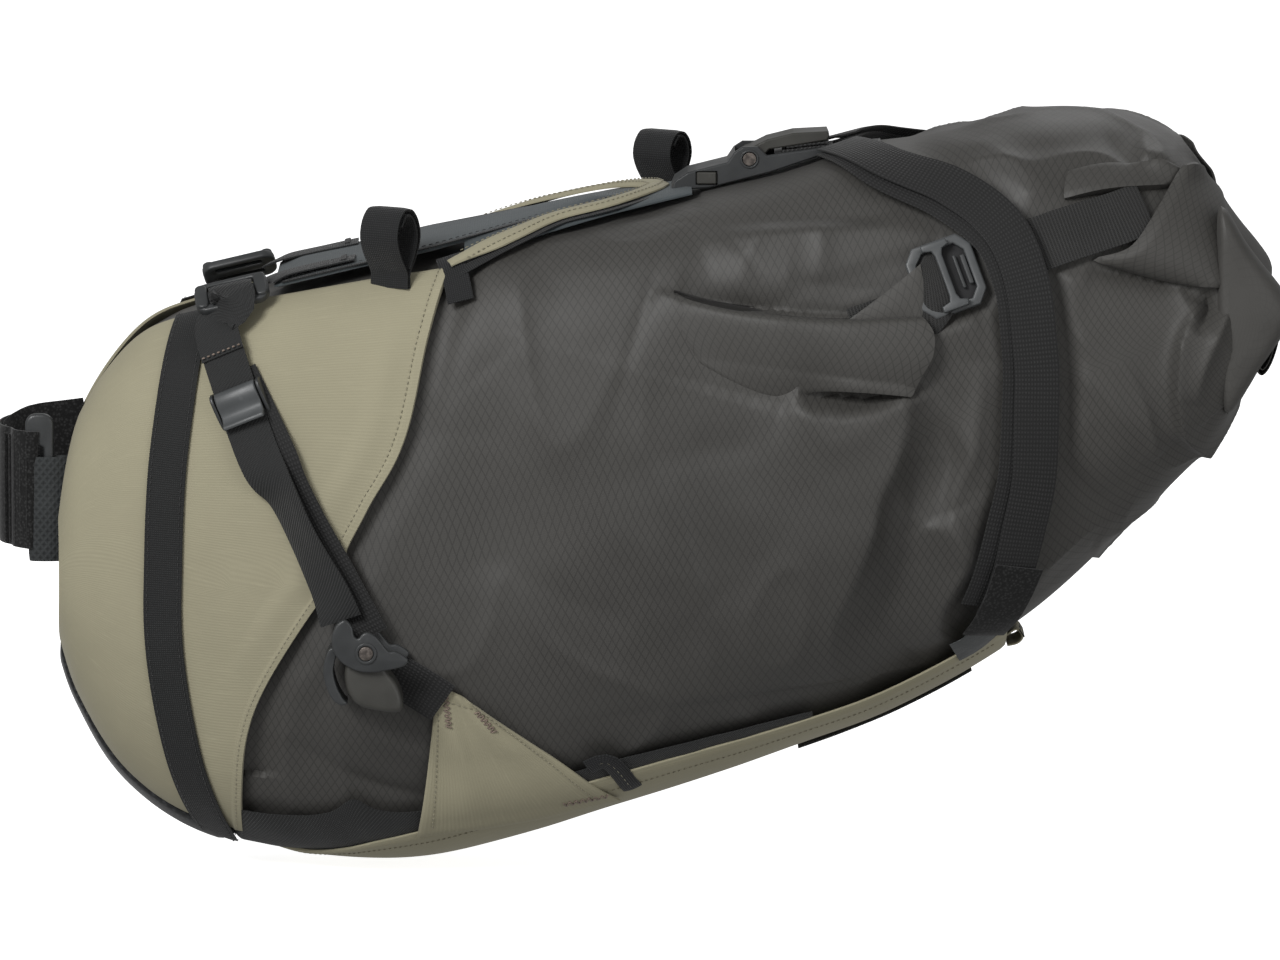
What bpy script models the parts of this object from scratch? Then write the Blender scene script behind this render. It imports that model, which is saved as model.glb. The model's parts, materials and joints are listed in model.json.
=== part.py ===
"""Harness-style saddle bag: a holster on the seatpost and saddle rails carries a roll-top dry bag.

Frame: metres, +X to the rear of the bicycle, -Y to the near side, +Z up, origin on the
seatpost's axis inside the holster's strap.
"""
import math

import bmesh
import bpy
import numpy as np
from mathutils import Matrix, Vector

MM = 0.001

# The dry bag's side outline: (x, z) of the top and of the bottom, half width, squareness of the
# upper half, at stations 0 (nose) to 12 (tail). Millimetres.
STATIONS = (
    ((10, 4), (10, -62), 31, 4.0),
    ((20, 42), (19, -90), 41, 4.0),
    ((45, 77), (40, -124), 53, 3.6),
    ((75, 91), (73, -147), 62, 3.6),
    ((120, 103), (118, -157), 72, 4.0),
    ((177, 117), (177, -158), 80, 4.0),
    ((250, 134), (250, -138), 86, 4.0),
    ((325, 147), (322, -114), 90, 3.2),
    ((395, 165), (390, -88), 91, 2.8),
    ((464, 180), (450, -52), 90, 2.6),
    ((515, 166), (500, -5), 88, 2.6),
    ((546, 122), (533, 32), 86, 3.0),
    ((553, 106), (549, 62), 82, 3.0),
)
LOWER_SQUARENESS = 2.4

# Driving dimensions, millimetres.
FABRIC = 2.0
THIN_FABRIC = 1.6
WEBBING = 1.5
SIDE_STRAP_WIDTH = 20
REAR_STRAP_WIDTH = 22
ROLL_WEBBING_WIDTH = 25
BAND_WIDTH = 18
TRIM_WIDTH = 13
LOOP_WIDTH = 20
SEATPOST_RADIUS = 15.5
SEAT_STRAP_HEIGHT = 50
BUCKLE_WIDTH = 24
PIN_RADIUS = 3.0
PIN_CLEARANCE = 0.4
GAP = 0.4

# Heights of the middles of the pieces that lie on the bag over its skin, millimetres. Each layer
# clears the one under it.
ROLL_WEBBING_LIFT = 1.9
ROLL_END_LIFT = 4.6
STIFFENER_LIFT = 1.5
BOTTOM_LIFT = 4.6
BOTTOM_WEBBING_LIFT = 6.9
TAB_LIFT = 4.2
TRIM_LIFT = 4.9
BAND_LIFT = 5.1
REAR_STRAP_LIFT = 9.2
REAR_INNER_LIFT = 6.8

COLOURS = {
    "khaki": ((0.30, 0.28, 0.21), 0.85, 0.0),
    "slate": ((0.05, 0.06, 0.07), 0.8, 0.0),
    "ripstop": ((0.065, 0.062, 0.058), 0.6, 0.0),
    "webbing": ((0.035, 0.036, 0.038), 0.75, 0.0),
    "abrasion": ((0.03, 0.03, 0.032), 0.9, 0.0),
    "plastic": ((0.05, 0.052, 0.055), 0.45, 0.0),
    "lever_plastic": ((0.09, 0.095, 0.1), 0.4, 0.0),
    "steel": ((0.45, 0.4, 0.33), 0.35, 1.0),
    "rubber": ((0.06, 0.065, 0.07), 0.8, 0.0),
}


def clear_scene():
    for obj in list(bpy.data.objects):
        bpy.data.objects.remove(obj, do_unlink=True)


def new_collection(name):
    collection = bpy.data.collections.new(name)
    bpy.context.scene.collection.children.link(collection)
    return collection


def make_materials():
    made = {}
    for name, (colour, roughness, metallic) in COLOURS.items():
        material = bpy.data.materials.new(name)
        material.use_nodes = True
        shader = material.node_tree.nodes["Principled BSDF"]
        shader.inputs["Base Color"].default_value = (*colour, 1)
        shader.inputs["Roughness"].default_value = roughness
        shader.inputs["Metallic"].default_value = metallic
        made[name] = material
    return made


# ---------------------------------------------------------------- the bag's skin


def station(t):
    """Top, bottom, half width and upper squareness at station t, by a smooth cubic."""
    rows = np.array([[*top, *bottom, width, square] for top, bottom, width, square in STATIONS])
    last = len(rows) - 1
    i = int(min(max(math.floor(t), 0), last - 1))
    u = t - i
    before, after = rows[max(i - 1, 0)], rows[min(i + 2, last)]
    slope_0 = (rows[i + 1] - before) / 2
    slope_1 = (after - rows[i]) / 2
    value = (
        (2 * u**3 - 3 * u**2 + 1) * rows[i]
        + (u**3 - 2 * u**2 + u) * slope_0
        + (3 * u**2 - 2 * u**3) * rows[i + 1]
        + (u**3 - u**2) * slope_1
    )
    return value[0:2], value[2:4], value[4], value[5]


def skin_point(t, phi):
    """The skin at station t and angle phi in degrees: 0 top, 90 near side, 180 bottom."""
    top, bottom, width, square = station(t)
    middle = (top + bottom) / 2
    half = (top - bottom) / 2
    c, s = math.cos(math.radians(phi)), math.sin(math.radians(phi))
    power = 2 / (square if c > 0 else LOWER_SQUARENESS)
    side_view = middle + half * math.copysign(abs(c) ** power, c)
    y = -width * math.copysign(abs(s) ** power, s)
    return Vector((side_view[0], y, side_view[1]))


def skin_normal(t, phi):
    step_t, step_phi = 0.02, 1.5
    along = skin_point(t + step_t, phi) - skin_point(t - step_t, phi)
    around = skin_point(t, phi + step_phi) - skin_point(t, phi - step_phi)
    return around.cross(along).normalized()


def on_skin(t, phi, lift=0.0):
    """The skin's point moved out by lift, and the skin's normal there."""
    normal = skin_normal(t, phi)
    return skin_point(t, phi) + normal * lift, normal


def locate(x, z):
    """Station and angle of the near-side skin point that is seen at (x, z) from the side."""
    low, high = 0.0, len(STATIONS) - 1.0
    point = np.array((x, z), float)
    for _ in range(40):
        t = (low + high) / 2
        top, bottom, _, _ = station(t)
        chord = top - bottom
        beyond = chord[1] * (point - bottom)[0] - chord[0] * (point - bottom)[1] > 0
        low, high = (t, high) if beyond else (low, t)
    top, bottom, _, square = station(t)
    half = (top - bottom) / 2
    share = float(np.clip((point - (top + bottom) / 2) @ half / (half @ half), -1, 1))
    power = (square if share > 0 else LOWER_SQUARENESS) / 2
    c = math.copysign(abs(share) ** power, share)
    return t, math.degrees(math.acos(c))


# ---------------------------------------------------------------- builders


def add_object(name, mesh, material, smooth=True):
    obj = bpy.data.objects.new(name, mesh)
    mesh.materials.clear()
    mesh.materials.append(MATERIALS[material])
    if smooth:
        mesh.shade_smooth()
        mesh.set_sharp_from_angle(angle=math.radians(35))
    PARTS.objects.link(obj)
    return obj


def bake(obj):
    """Applies an object's modifiers to its mesh."""
    bpy.context.view_layer.update()
    evaluated = obj.evaluated_get(bpy.context.evaluated_depsgraph_get())
    mesh = bpy.data.meshes.new_from_object(evaluated)
    obj.modifiers.clear()
    obj.data = mesh
    return obj


def set_origin(obj, point):
    """Moves an object's origin to point (mm) without moving its surface."""
    shift = Vector(point) * MM - obj.location
    obj.data.transform(Matrix.Translation(-shift))
    obj.location = obj.location + shift
    return obj


def mirrored(obj, name):
    """The far side's copy of a near-side piece."""
    mesh = obj.data.copy()
    mesh.transform(Matrix.Diagonal((1, -1, 1, 1)))
    mesh.flip_normals()
    copy = bpy.data.objects.new(name, mesh)
    copy.location = obj.location * Vector((1, -1, 1))
    PARTS.objects.link(copy)
    return copy


def joint_axis(name, point, axis, slides=False):
    """An arrow (an empty) on a joint's axis; a near-side joint gets its mirror image too."""
    point, axis = Vector(point), Vector(axis).normalized()
    places = [(name, point, axis)]
    if name.endswith("_near"):
        flipped = (axis.x, -axis.y, axis.z) if slides else (-axis.x, axis.y, -axis.z)
        far_name = name.replace("_near", "_far")
        places.append((far_name, Vector((point.x, -point.y, point.z)), Vector(flipped)))
    for label, where, direction in places:
        arrow = bpy.data.objects.new("axis_" + label, None)
        arrow.empty_display_type = "SINGLE_ARROW"
        arrow.empty_display_size = 30 * MM
        arrow.rotation_mode = "QUATERNION"
        arrow.rotation_quaternion = direction.to_track_quat("Z", "Y")
        arrow.location = where * MM
        GUIDES.objects.link(arrow)


def sheet(name, surface, columns, rows, thickness, material):
    """A grid laid on surface(u, v), u and v in 0 to 1, thickened to both sides of it."""
    bm = bmesh.new()
    bmesh.ops.create_grid(bm, x_segments=columns, y_segments=rows, size=0.5)
    for vert in bm.verts:
        vert.co = surface(vert.co.x + 0.5, vert.co.y + 0.5) * MM
    mesh = bpy.data.meshes.new(name)
    bm.to_mesh(mesh)
    bm.free()
    obj = add_object(name, mesh, material)
    solidify = obj.modifiers.new("thickness", "SOLIDIFY")
    solidify.thickness = thickness * MM
    solidify.offset = 0
    return bake(obj)


def ribbon(name, stops, width, material="webbing", thickness=WEBBING):
    """Webbing through stops, each a (point, outward normal) pair."""
    points = [Vector(point) for point, _ in stops]
    sides = []
    for i, (_, normal) in enumerate(stops):
        along = points[min(i + 1, len(stops) - 1)] - points[max(i - 1, 0)]
        sides.append(along.cross(normal).normalized() * width)
    last = len(stops) - 1

    def surface(u, v):
        i = round(u * last)
        return points[i] + sides[i] * (v - 0.5)

    return sheet(name, surface, last, 1, thickness, material)


def located(side_points):
    """Station and angle of each (x, z) point seen from the near side."""
    return [locate(x, z) for x, z in side_points]


def skin_stops(places, lift, per_span=3):
    """Stops on the skin through (station, angle) places, with smooth spans between them."""
    places = [Vector(place) for place in places]
    stops = []
    for i in range(len(places) - 1):
        before, here = places[max(i - 1, 0)], places[i]
        there, after = places[i + 1], places[min(i + 2, len(places) - 1)]
        for k in range(per_span):
            u = k / per_span
            place = (
                (2 * u**3 - 3 * u**2 + 1) * here
                + (u**3 - 2 * u**2 + u) * (there - before) / 2
                + (3 * u**2 - 2 * u**3) * there
                + (u**3 - u**2) * (after - here) / 2
            )
            stops.append(on_skin(place[0], place[1], lift))
    stops.append(on_skin(places[-1][0], places[-1][1], lift))
    return stops


def block(name, size, centre, material, turn=(0, 0, 0), bevel=0.8):
    """A box with rounded edges; size and centre in mm, turn in degrees."""
    bm = bmesh.new()
    bmesh.ops.create_cube(bm, size=1)
    bmesh.ops.scale(bm, vec=Vector(size) * MM, verts=bm.verts)
    if bevel:
        bmesh.ops.bevel(
            bm, geom=bm.edges[:], offset=bevel * MM, segments=1, profile=0.5, affect="EDGES"
        )
    mesh = bpy.data.meshes.new(name)
    bm.to_mesh(mesh)
    bm.free()
    obj = add_object(name, mesh, material, smooth=False)
    rotation = Matrix.Rotation(math.radians(turn[2]), 4, "Z")
    rotation @= Matrix.Rotation(math.radians(turn[1]), 4, "Y")
    rotation @= Matrix.Rotation(math.radians(turn[0]), 4, "X")
    obj.data.transform(rotation)
    obj.location = Vector(centre) * MM
    return obj


def cylinder(name, radius, length, centre, material, sides=20):
    """A cylinder along Y."""
    bm = bmesh.new()
    bmesh.ops.create_cone(
        bm, cap_ends=True, segments=sides, radius1=radius * MM, radius2=radius * MM, depth=length * MM
    )
    bmesh.ops.rotate(bm, verts=bm.verts, matrix=Matrix.Rotation(math.radians(90), 3, "X"))
    mesh = bpy.data.meshes.new(name)
    bm.to_mesh(mesh)
    bm.free()
    obj = add_object(name, mesh, material)
    obj.location = Vector(centre) * MM
    return obj


def plate(name, outline, thickness, material, place, bevel=0.0):
    """A flat outline in the object's XY plane, extruded along Z and put at place (a matrix in mm)."""
    curve = bpy.data.curves.new(name, "CURVE")
    curve.dimensions = "2D"
    curve.fill_mode = "BOTH"
    curve.extrude = thickness * MM / 2
    spline = curve.splines.new("POLY")
    spline.points.add(len(outline) - 1)
    for point, (x, y) in zip(spline.points, outline, strict=True):
        point.co = (x * MM, y * MM, 0, 1)
    spline.use_cyclic_u = True
    guide = bpy.data.objects.new(name + "_outline", curve)
    GUIDES.objects.link(guide)
    bpy.context.view_layer.update()
    evaluated = guide.evaluated_get(bpy.context.evaluated_depsgraph_get())
    mesh = bpy.data.meshes.new_from_object(evaluated)
    bpy.data.objects.remove(guide, do_unlink=True)
    bm = bmesh.new()
    bm.from_mesh(mesh)
    bmesh.ops.remove_doubles(bm, verts=bm.verts, dist=0.00001)
    flat = [edge for edge in bm.edges if edge.calc_face_angle(1.0) < math.radians(1)]
    bmesh.ops.dissolve_edges(bm, edges=flat, use_verts=False)
    if bevel:
        rims = [edge for edge in bm.edges if edge.calc_face_angle(0.0) > math.radians(80)]
        bmesh.ops.bevel(bm, geom=rims, offset=bevel * MM, segments=1, profile=0.5, affect="EDGES")
    bmesh.ops.recalc_face_normals(bm, faces=bm.faces)
    bm.to_mesh(mesh)
    bm.free()
    obj = add_object(name, mesh, material, smooth=False)
    rotation, centre = place.to_3x3().to_4x4(), place.to_translation()
    obj.data.transform(rotation)
    obj.location = centre * MM
    return obj


def cut(obj, cutter, operation="DIFFERENCE"):
    """Boolean of obj with cutter, applied; the cutter is then removed."""
    boolean = obj.modifiers.new(operation.lower(), "BOOLEAN")
    boolean.operation = operation
    boolean.solver = "EXACT"
    boolean.object = cutter
    bake(obj)
    bpy.data.objects.remove(cutter, do_unlink=True)
    return obj


def arc_points(centre, radius, start, end, count):
    """Points on an arc in a plane, angles in degrees."""
    angles = (math.radians(start + (end - start) * i / (count - 1)) for i in range(count))
    return [(centre[0] + radius * math.cos(a), centre[1] + radius * math.sin(a)) for a in angles]


def rounded_rectangle(width, height, radius, steps=4):
    """A rectangle about the origin with round corners."""
    x, y = width / 2 - radius, height / 2 - radius
    corners = ((x, y, 0), (-x, y, 90), (-x, -y, 180), (x, -y, 270))
    outline = []
    for cx, cy, start in corners:
        outline += arc_points((cx, cy), radius, start, start + 90, steps)
    return outline


def frame_at(origin, x_axis, z_axis):
    """A matrix with its X along x_axis and its Z as near z_axis as can be."""
    x = Vector(x_axis).normalized()
    y = Vector(z_axis).cross(x).normalized()
    z = x.cross(y)
    matrix = Matrix((x, y, z)).transposed().to_4x4()
    matrix.translation = Vector(origin)
    return matrix


UPRIGHT = Matrix(((1, 0, 0, 0), (0, 0, -1, 0), (0, 1, 0, 0), (0, 0, 0, 1)))


def side_plate(name, outline, thickness, y, material, bevel=0.0):
    """A plate whose outline is given in the side view (x, z), centred on y."""
    place = Matrix.Translation((0, y, 0)) @ UPRIGHT
    return plate(name, outline, thickness, material, place, bevel)


# ---------------------------------------------------------------- dry bag


BAG_FIRST, BAG_LAST = 1.35, 11.6
BAG_RINGS = 24
BAG_SIDES = 36


def make_dry_bag():
    """The packed bag: rings of the skin from the nose to the roll, drawn in a little at the ends."""
    full = [BAG_FIRST + 0.35 + (BAG_LAST - 0.5 - BAG_FIRST) * i / (BAG_RINGS - 1) for i in range(BAG_RINGS)]
    rings = [(BAG_FIRST, 0.8), (BAG_FIRST + 0.15, 0.93), *[(t, 1.0) for t in full], (BAG_LAST, 0.96)]
    bm = bmesh.new()
    loops = []
    for t, scale in rings:
        top, bottom, _, _ = station(t)
        middle = Vector(((top[0] + bottom[0]) / 2, 0, (top[1] + bottom[1]) / 2))
        loop = []
        for k in range(BAG_SIDES):
            point = skin_point(t, 360 * k / BAG_SIDES)
            loop.append(bm.verts.new((middle + (point - middle) * scale) * MM))
        loops.append(loop)
    for here, there in zip(loops, loops[1:]):
        for k in range(BAG_SIDES):
            nxt = (k + 1) % BAG_SIDES
            bm.faces.new((here[k], here[nxt], there[nxt], there[k]))
    bm.faces.new(loops[0])
    bm.faces.new(loops[-1])
    bmesh.ops.recalc_face_normals(bm, faces=bm.faces)
    mesh = bpy.data.meshes.new("dry_bag")
    bm.to_mesh(mesh)
    bm.free()
    return add_object("dry_bag", mesh, "ripstop")


ROLL_CENTRE = (555.5, 84.0)
ROLL_RADII = (6.0, 20.0)
ROLL_LEAN = -12
ROLL_LENGTH = 160
ROLL_SIDES = 20
ROLL_POCKET = (3.2, 24.0)
STRIP = (1.6, 152.0, 21.0)


def make_roll():
    """The mouth rolled round a flat plastic strip, across the tail."""
    lean = math.radians(ROLL_LEAN)
    outline = []
    for k in range(ROLL_SIDES):
        angle = 2 * math.pi * k / ROLL_SIDES
        x, z = ROLL_RADII[0] * math.cos(angle), ROLL_RADII[1] * math.sin(angle)
        outline.append(
            (
                ROLL_CENTRE[0] + x * math.cos(lean) - z * math.sin(lean),
                ROLL_CENTRE[1] + x * math.sin(lean) + z * math.cos(lean),
            )
        )
    roll = side_plate("roll_top", outline, ROLL_LENGTH, 0, "ripstop")
    centre = (ROLL_CENTRE[0], 0, ROLL_CENTRE[1])
    turn = (0, -ROLL_LEAN, 0)
    through = (ROLL_POCKET[0], ROLL_LENGTH + 10, ROLL_POCKET[1])
    cut(roll, block("pocket", through, centre, "ripstop", turn, 0))
    block("roll_stiffener", STRIP, centre, "plastic", turn, 0.3)


def side_quad(corners, lift):
    """A surface on the near-side skin between four (x, z) corners, in order round it."""
    a, b, c, d = (Vector(corner) for corner in corners)

    def surface(u, v):
        x, z = a * (1 - u) * (1 - v) + b * u * (1 - v) + c * u * v + d * (1 - u) * v
        return on_skin(*locate(x, z), lift)[0]

    return surface


ROLL_END_THICKNESS = 6.4


def make_roll_end():
    """The roll's end, folded forward along the side of the bag."""
    corners = ((489, 122), (547, 101), (536, 134), (497, 158))
    folded = side_quad(corners, ROLL_END_LIFT)
    end = sheet("roll_end_near", folded, 8, 6, ROLL_END_THICKNESS, "ripstop")
    mirrored(end, "roll_end_far")


def make_roll_webbing():
    """Webbing from the roll's end to the hook, and from the bag's side to the frame."""
    webbing = ribbon(
        "roll_webbing_near",
        skin_stops(located(((431, 119), (455, 128), (484, 136))), ROLL_WEBBING_LIFT),
        ROLL_WEBBING_WIDTH,
    )
    mirrored(webbing, "roll_webbing_far")
    anchor = ribbon(
        "anchor_webbing_near",
        skin_stops(located(((366, 95), (390, 104))), ROLL_WEBBING_LIFT),
        ROLL_WEBBING_WIDTH,
    )
    mirrored(anchor, "anchor_webbing_far")


HOOK_BUCKLE = (406.0, 108.8)
HOOK_FRAME_LIFT = 3.0
HOOK_FRAME = (31.0, 35.0, 3.0)
HOOK_WINDOW = (22.0, 27.0)
HOOK_LIFT = 7.0
HOOK_THICKNESS = 2.6
HOOK_HINGE = (12.0, 0.0, 0.0)


def hook_place(lift):
    """The hook buckle's frame of reference on the bag's side, X along the webbing."""
    point, normal = on_skin(*locate(*HOOK_BUCKLE), lift)
    ahead, _ = on_skin(*locate(HOOK_BUCKLE[0] + 9, HOOK_BUCKLE[1] + 3.2), lift)
    return frame_at(point, ahead - point, normal)


def make_hook_buckle():
    """A frame on the bag's side and the flat hook that drops into it."""
    place = hook_place(HOOK_FRAME_LIFT)
    width, height, thickness = HOOK_FRAME
    frame = plate("buckle_frame_near", rounded_rectangle(width, height, 4), thickness, "plastic", place)
    window = rounded_rectangle(*HOOK_WINDOW, 2, 2)
    cut(frame, plate("window", window, 2 * thickness + 2, "plastic", place))
    mirrored(frame, "buckle_frame_far")
    place = hook_place(HOOK_LIFT)
    outline = ((-13, -5), (-9, -13), (12, -13), (12, 13), (-9, 13), (-13, 5))
    hook = plate("buckle_hook_near", outline, HOOK_THICKNESS, "lever_plastic", place, 0.5)
    hinge = place @ Vector(HOOK_HINGE)
    set_origin(hook, hinge)
    mirrored(hook, "buckle_hook_far")
    joint_axis("hook_near", hinge, place.to_3x3() @ Vector((0, 1, 0)))


# ---------------------------------------------------------------- holster

WING_HEM = (
    (183, 112),
    (175, 83),
    (168, 41),
    (150, 6),
    (127, -38),
    (105, -73),
    (95, -99),
    (92, -127),
    (92, -146),
)
WING_LIFT = 2.4
WING_FRONT_TOP = 12
WING_BOTTOM = 165


def make_wing():
    """A side panel of the holster, from the nose to a curved hem."""
    hem = located(WING_HEM)
    last = len(hem) - 1

    def surface(u, v):
        place = v * last
        i = min(int(place), last - 1)
        part = place - i
        t_hem = hem[i][0] * (1 - part) + hem[i + 1][0] * part
        phi_hem = hem[i][1] * (1 - part) + hem[i + 1][1] * part
        phi_front = WING_FRONT_TOP + (WING_BOTTOM - WING_FRONT_TOP) * v
        t_front = 0.05 + 0.9 * max(0.0, 1 - 3 * v)
        t = t_front + (t_hem - t_front) * u
        return on_skin(t, phi_front + (phi_hem - phi_front) * u * u, WING_LIFT)[0]

    wing = sheet("wing_near", surface, 14, 16, FABRIC, "khaki")
    mirrored(wing, "wing_far")


NOSE_PLATE = (58.0, 104.0, 2.0)
NOSE_CORNER = 22.0
NOSE_X = 22.0
NOSE_Z = -25.0
PAD_SIZE = (4.6, 26.0, 54.0)
PAD_Z = -6.0


def make_nose():
    """The stiff front wall, the pad on it and the abrasion strip under it."""
    place = frame_at((NOSE_X, 0, NOSE_Z), (0, 1, 0), (1, 0, 0))
    width, height, thickness = NOSE_PLATE
    plate("nose_plate", rounded_rectangle(width, height, NOSE_CORNER), thickness, "abrasion", place)
    pad_x = SEATPOST_RADIUS + PAD_SIZE[0] / 2
    block("seatpost_pad", PAD_SIZE, (pad_x, 0, PAD_Z), "rubber", bevel=0.6)

    def surface(u, v):
        return on_skin(0.1 + 3.15 * u, 167 + 26 * v, WING_LIFT)[0]

    sheet("abrasion_strip", surface, 10, 6, FABRIC, "abrasion")


PANEL_START = (104.0, 99.5)
PANEL_END = (270.0, 138.5)
PANEL_LIFT = 3.4
PANEL_THICKNESS = 2.4


def panel_place():
    """The top panel's frame of reference: X rearwards along it, Z out of its upper face."""
    start, end = Vector((PANEL_START[0], 0, PANEL_START[1])), Vector((PANEL_END[0], 0, PANEL_END[1]))
    along = (end - start).normalized()
    normal = along.cross(Vector((0, 1, 0)))
    return frame_at(start + normal * PANEL_LIFT, along, normal)


def make_top_panel():
    """The flat stiffened panel under the saddle, narrowing to the rear between the trims."""
    half = ((4, 44), (76, 44), (118, 29), (150, 12), (164, 5))
    outline = [(x, -y) for x, y in half] + [(x, y) for x, y in reversed(half)]
    plate("top_panel", outline, PANEL_THICKNESS, "slate", panel_place())


def make_top_trim():
    """Khaki strips from the wings' upper corners to the top buckle."""
    places = ((5.1, 37), (5.55, 31), (6.05, 17), (6.42, 3.5))
    trim = ribbon("top_trim_near", skin_stops(places, TRIM_LIFT), TRIM_WIDTH, "khaki", THIN_FABRIC)
    mirrored(trim, "top_trim_far")


STIFFENER_THICKNESS = 1.2
BOTTOM_WEBBING_WIDTH = 25
TAB_SIZE = (9.0, 30.0, 7.0)


def make_bottom():
    """The stiffened strip under the dry bag, its webbing and its folded tail."""

    def stiffener(u, v):
        return on_skin(3.6 + 4.9 * u, 163 + 34 * v, STIFFENER_LIFT)[0]

    def panel(u, v):
        half = 23 + 2 * math.sin(math.pi * min(1.0, u * 1.6)) - 8 * u
        return on_skin(3.56 + 5.2 * u, 180 + half * (2 * v - 1), BOTTOM_LIFT)[0]

    sheet("bottom_stiffener", stiffener, 12, 6, STIFFENER_THICKNESS, "plastic")
    sheet("bottom_panel", panel, 14, 8, THIN_FABRIC, "khaki")
    stops = skin_stops(((7.3, 180), (8.0, 180), (8.5, 180)), BOTTOM_WEBBING_LIFT)
    ribbon("bottom_webbing", stops, BOTTOM_WEBBING_WIDTH)
    point, normal = on_skin(8.84, 180, TAB_LIFT)
    slope = math.degrees(math.atan2(normal.x, -normal.z))
    block("tail_tab", TAB_SIZE, point, "khaki", (0, -slope, 0), 1.0)


BAND_THICKNESS = 1.4


def make_band():
    """A black band sewn down each wing and under the nose."""
    side_points = ((72, 87), (64, 53), (59, 8), (58, -56), (66, -107), (79, -143))
    places = [*located(side_points), (3.2, 176)]
    band = ribbon("band_near", skin_stops(places, BAND_LIFT), BAND_WIDTH, thickness=BAND_THICKNESS)
    mirrored(band, "band_far")


TOP_WEBBING_Y = -32


def make_top_webbing():
    """Webbing that runs from each ladder lock along the top panel."""
    place = panel_place()
    height = PANEL_THICKNESS / 2 + 1.2
    normal = place.to_3x3() @ Vector((0, 0, 1))
    stops = [(place @ Vector((x, TOP_WEBBING_Y, height)), normal) for x in (8, 22, 42)]
    webbing = ribbon("top_webbing_near", stops, SIDE_STRAP_WIDTH)
    mirrored(webbing, "top_webbing_far")


FRONT_LOOP_HEIGHT = 30
REAR_LOOP_HEIGHT = 25
LOOP_GAP = 8.2
LOOP_TURN = math.radians(-18)


def make_loop(name, base, height):
    """An upright loop of webbing sewn down at its foot."""
    across = Vector((math.sin(-LOOP_TURN), math.cos(LOOP_TURN), 0))
    gap = LOOP_GAP
    half = ((1.0, 0), (1.1, 0.17), (gap * 0.7, 0.37), (gap, 0.6), (gap * 0.8, 0.83))
    half = [(a, share * height) for a, share in half]
    profile = [*half, (0, height), *[(-a, h) for a, h in reversed(half)]]
    last = len(profile) - 1
    stops = []
    for i, (a, h) in enumerate(profile):
        point = Vector(base) + across * a + Vector((0, 0, h))
        before, after = profile[max(i - 1, 0)], profile[min(i + 1, last)]
        along = across * (after[0] - before[0]) + Vector((0, 0, after[1] - before[1]))
        axis = across.cross(Vector((0, 0, 1)))
        stops.append((point, axis.cross(along).normalized()))
    loop = ribbon(name, stops, LOOP_WIDTH)
    set_origin(loop, base)
    joint_axis(name, base, across.cross(Vector((0, 0, 1))))


LOOP_FRONT = (160.0, -58.0)
LOOP_REAR = (283.0, 56.0)
FRONT_FOOT_LIFT = 6.0
REAR_FOOT_LIFT = 3.5


def top_height(x, y):
    """Height of the bag's upper skin over (x, y)."""
    low, high = 0.0, 89.0
    t, _ = locate(x, 100)
    for _ in range(40):
        phi = (low + high) / 2
        point = skin_point(t, phi)
        low, high = (phi, high) if abs(point.y) < abs(y) else (low, phi)
    return point.z


def make_loops():
    for name, (x, y), lift, height in (
        ("loop_front", LOOP_FRONT, FRONT_FOOT_LIFT, FRONT_LOOP_HEIGHT),
        ("loop_rear", LOOP_REAR, REAR_FOOT_LIFT, REAR_LOOP_HEIGHT),
    ):
        make_loop(name, (x, y, top_height(x, y) + lift), height)


# ---------------------------------------------------------------- side straps

KEEPER_RUN = ((87, 73), (103, 30))
KEEPER_SHARE = 0.5
STRAP_LIFT = 9.8


def keeper_run():
    """The straight stretch of the near side strap: its ends, direction and outward normal."""
    (start, normal_a), (end, normal_b) = (on_skin(*locate(*p), STRAP_LIFT) for p in KEEPER_RUN)
    along = (end - start).normalized()
    normal = (normal_a + normal_b).normalized()
    normal = (normal - along * normal.dot(along)).normalized()
    return start, end, along, normal


def make_side_strap():
    """The compression strap from the ladder lock to the lever buckle."""
    start, end, _, normal = keeper_run()
    stops = [on_skin(*locate(85, 82), STRAP_LIFT), (start, normal), (end, normal)]
    stops += [on_skin(*locate(113, 13), STRAP_LIFT + 0.5), on_skin(*locate(126, -7), STRAP_LIFT + 2)]
    stops += [on_skin(*locate(140, -33), STRAP_LIFT + 5)]
    strap = ribbon("side_strap_near", stops, SIDE_STRAP_WIDTH)
    mirrored(strap, "side_strap_far")


KEEPER = (26.0, 18.0, 6.4)
KEEPER_SLOT = (21.4, 2.7)


def make_strap_keeper():
    """The plastic sleeve that slides along the side strap."""
    start, end, along, normal = keeper_run()
    centre = start.lerp(end, KEEPER_SHARE)
    place = frame_at(centre, along, normal)
    outline = rounded_rectangle(KEEPER[1], KEEPER[0], 2.5, 3)
    keeper = plate("strap_keeper_near", outline, KEEPER[2], "plastic", place, 0.6)
    slot = block("slot", (KEEPER[1] + 10, KEEPER_SLOT[0], KEEPER_SLOT[1]), (0, 0, 0), "plastic", bevel=0)
    slot.data.transform(place.to_3x3().to_4x4())
    slot.location = centre * MM
    cut(keeper, slot)
    mirrored(keeper, "strap_keeper_far")
    joint_axis("keeper_near", centre, along, slides=True)


LADDER_LOCK = (88.0, -48.0, 101.0)
LOCK_SIZE = (32.0, 22.0, 4.0)
LOCK_SLOT = (22.0, 3.8)
LOCK_SLOT_SHIFT = 4.6
LOCK_LEAN = math.radians(38)


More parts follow.
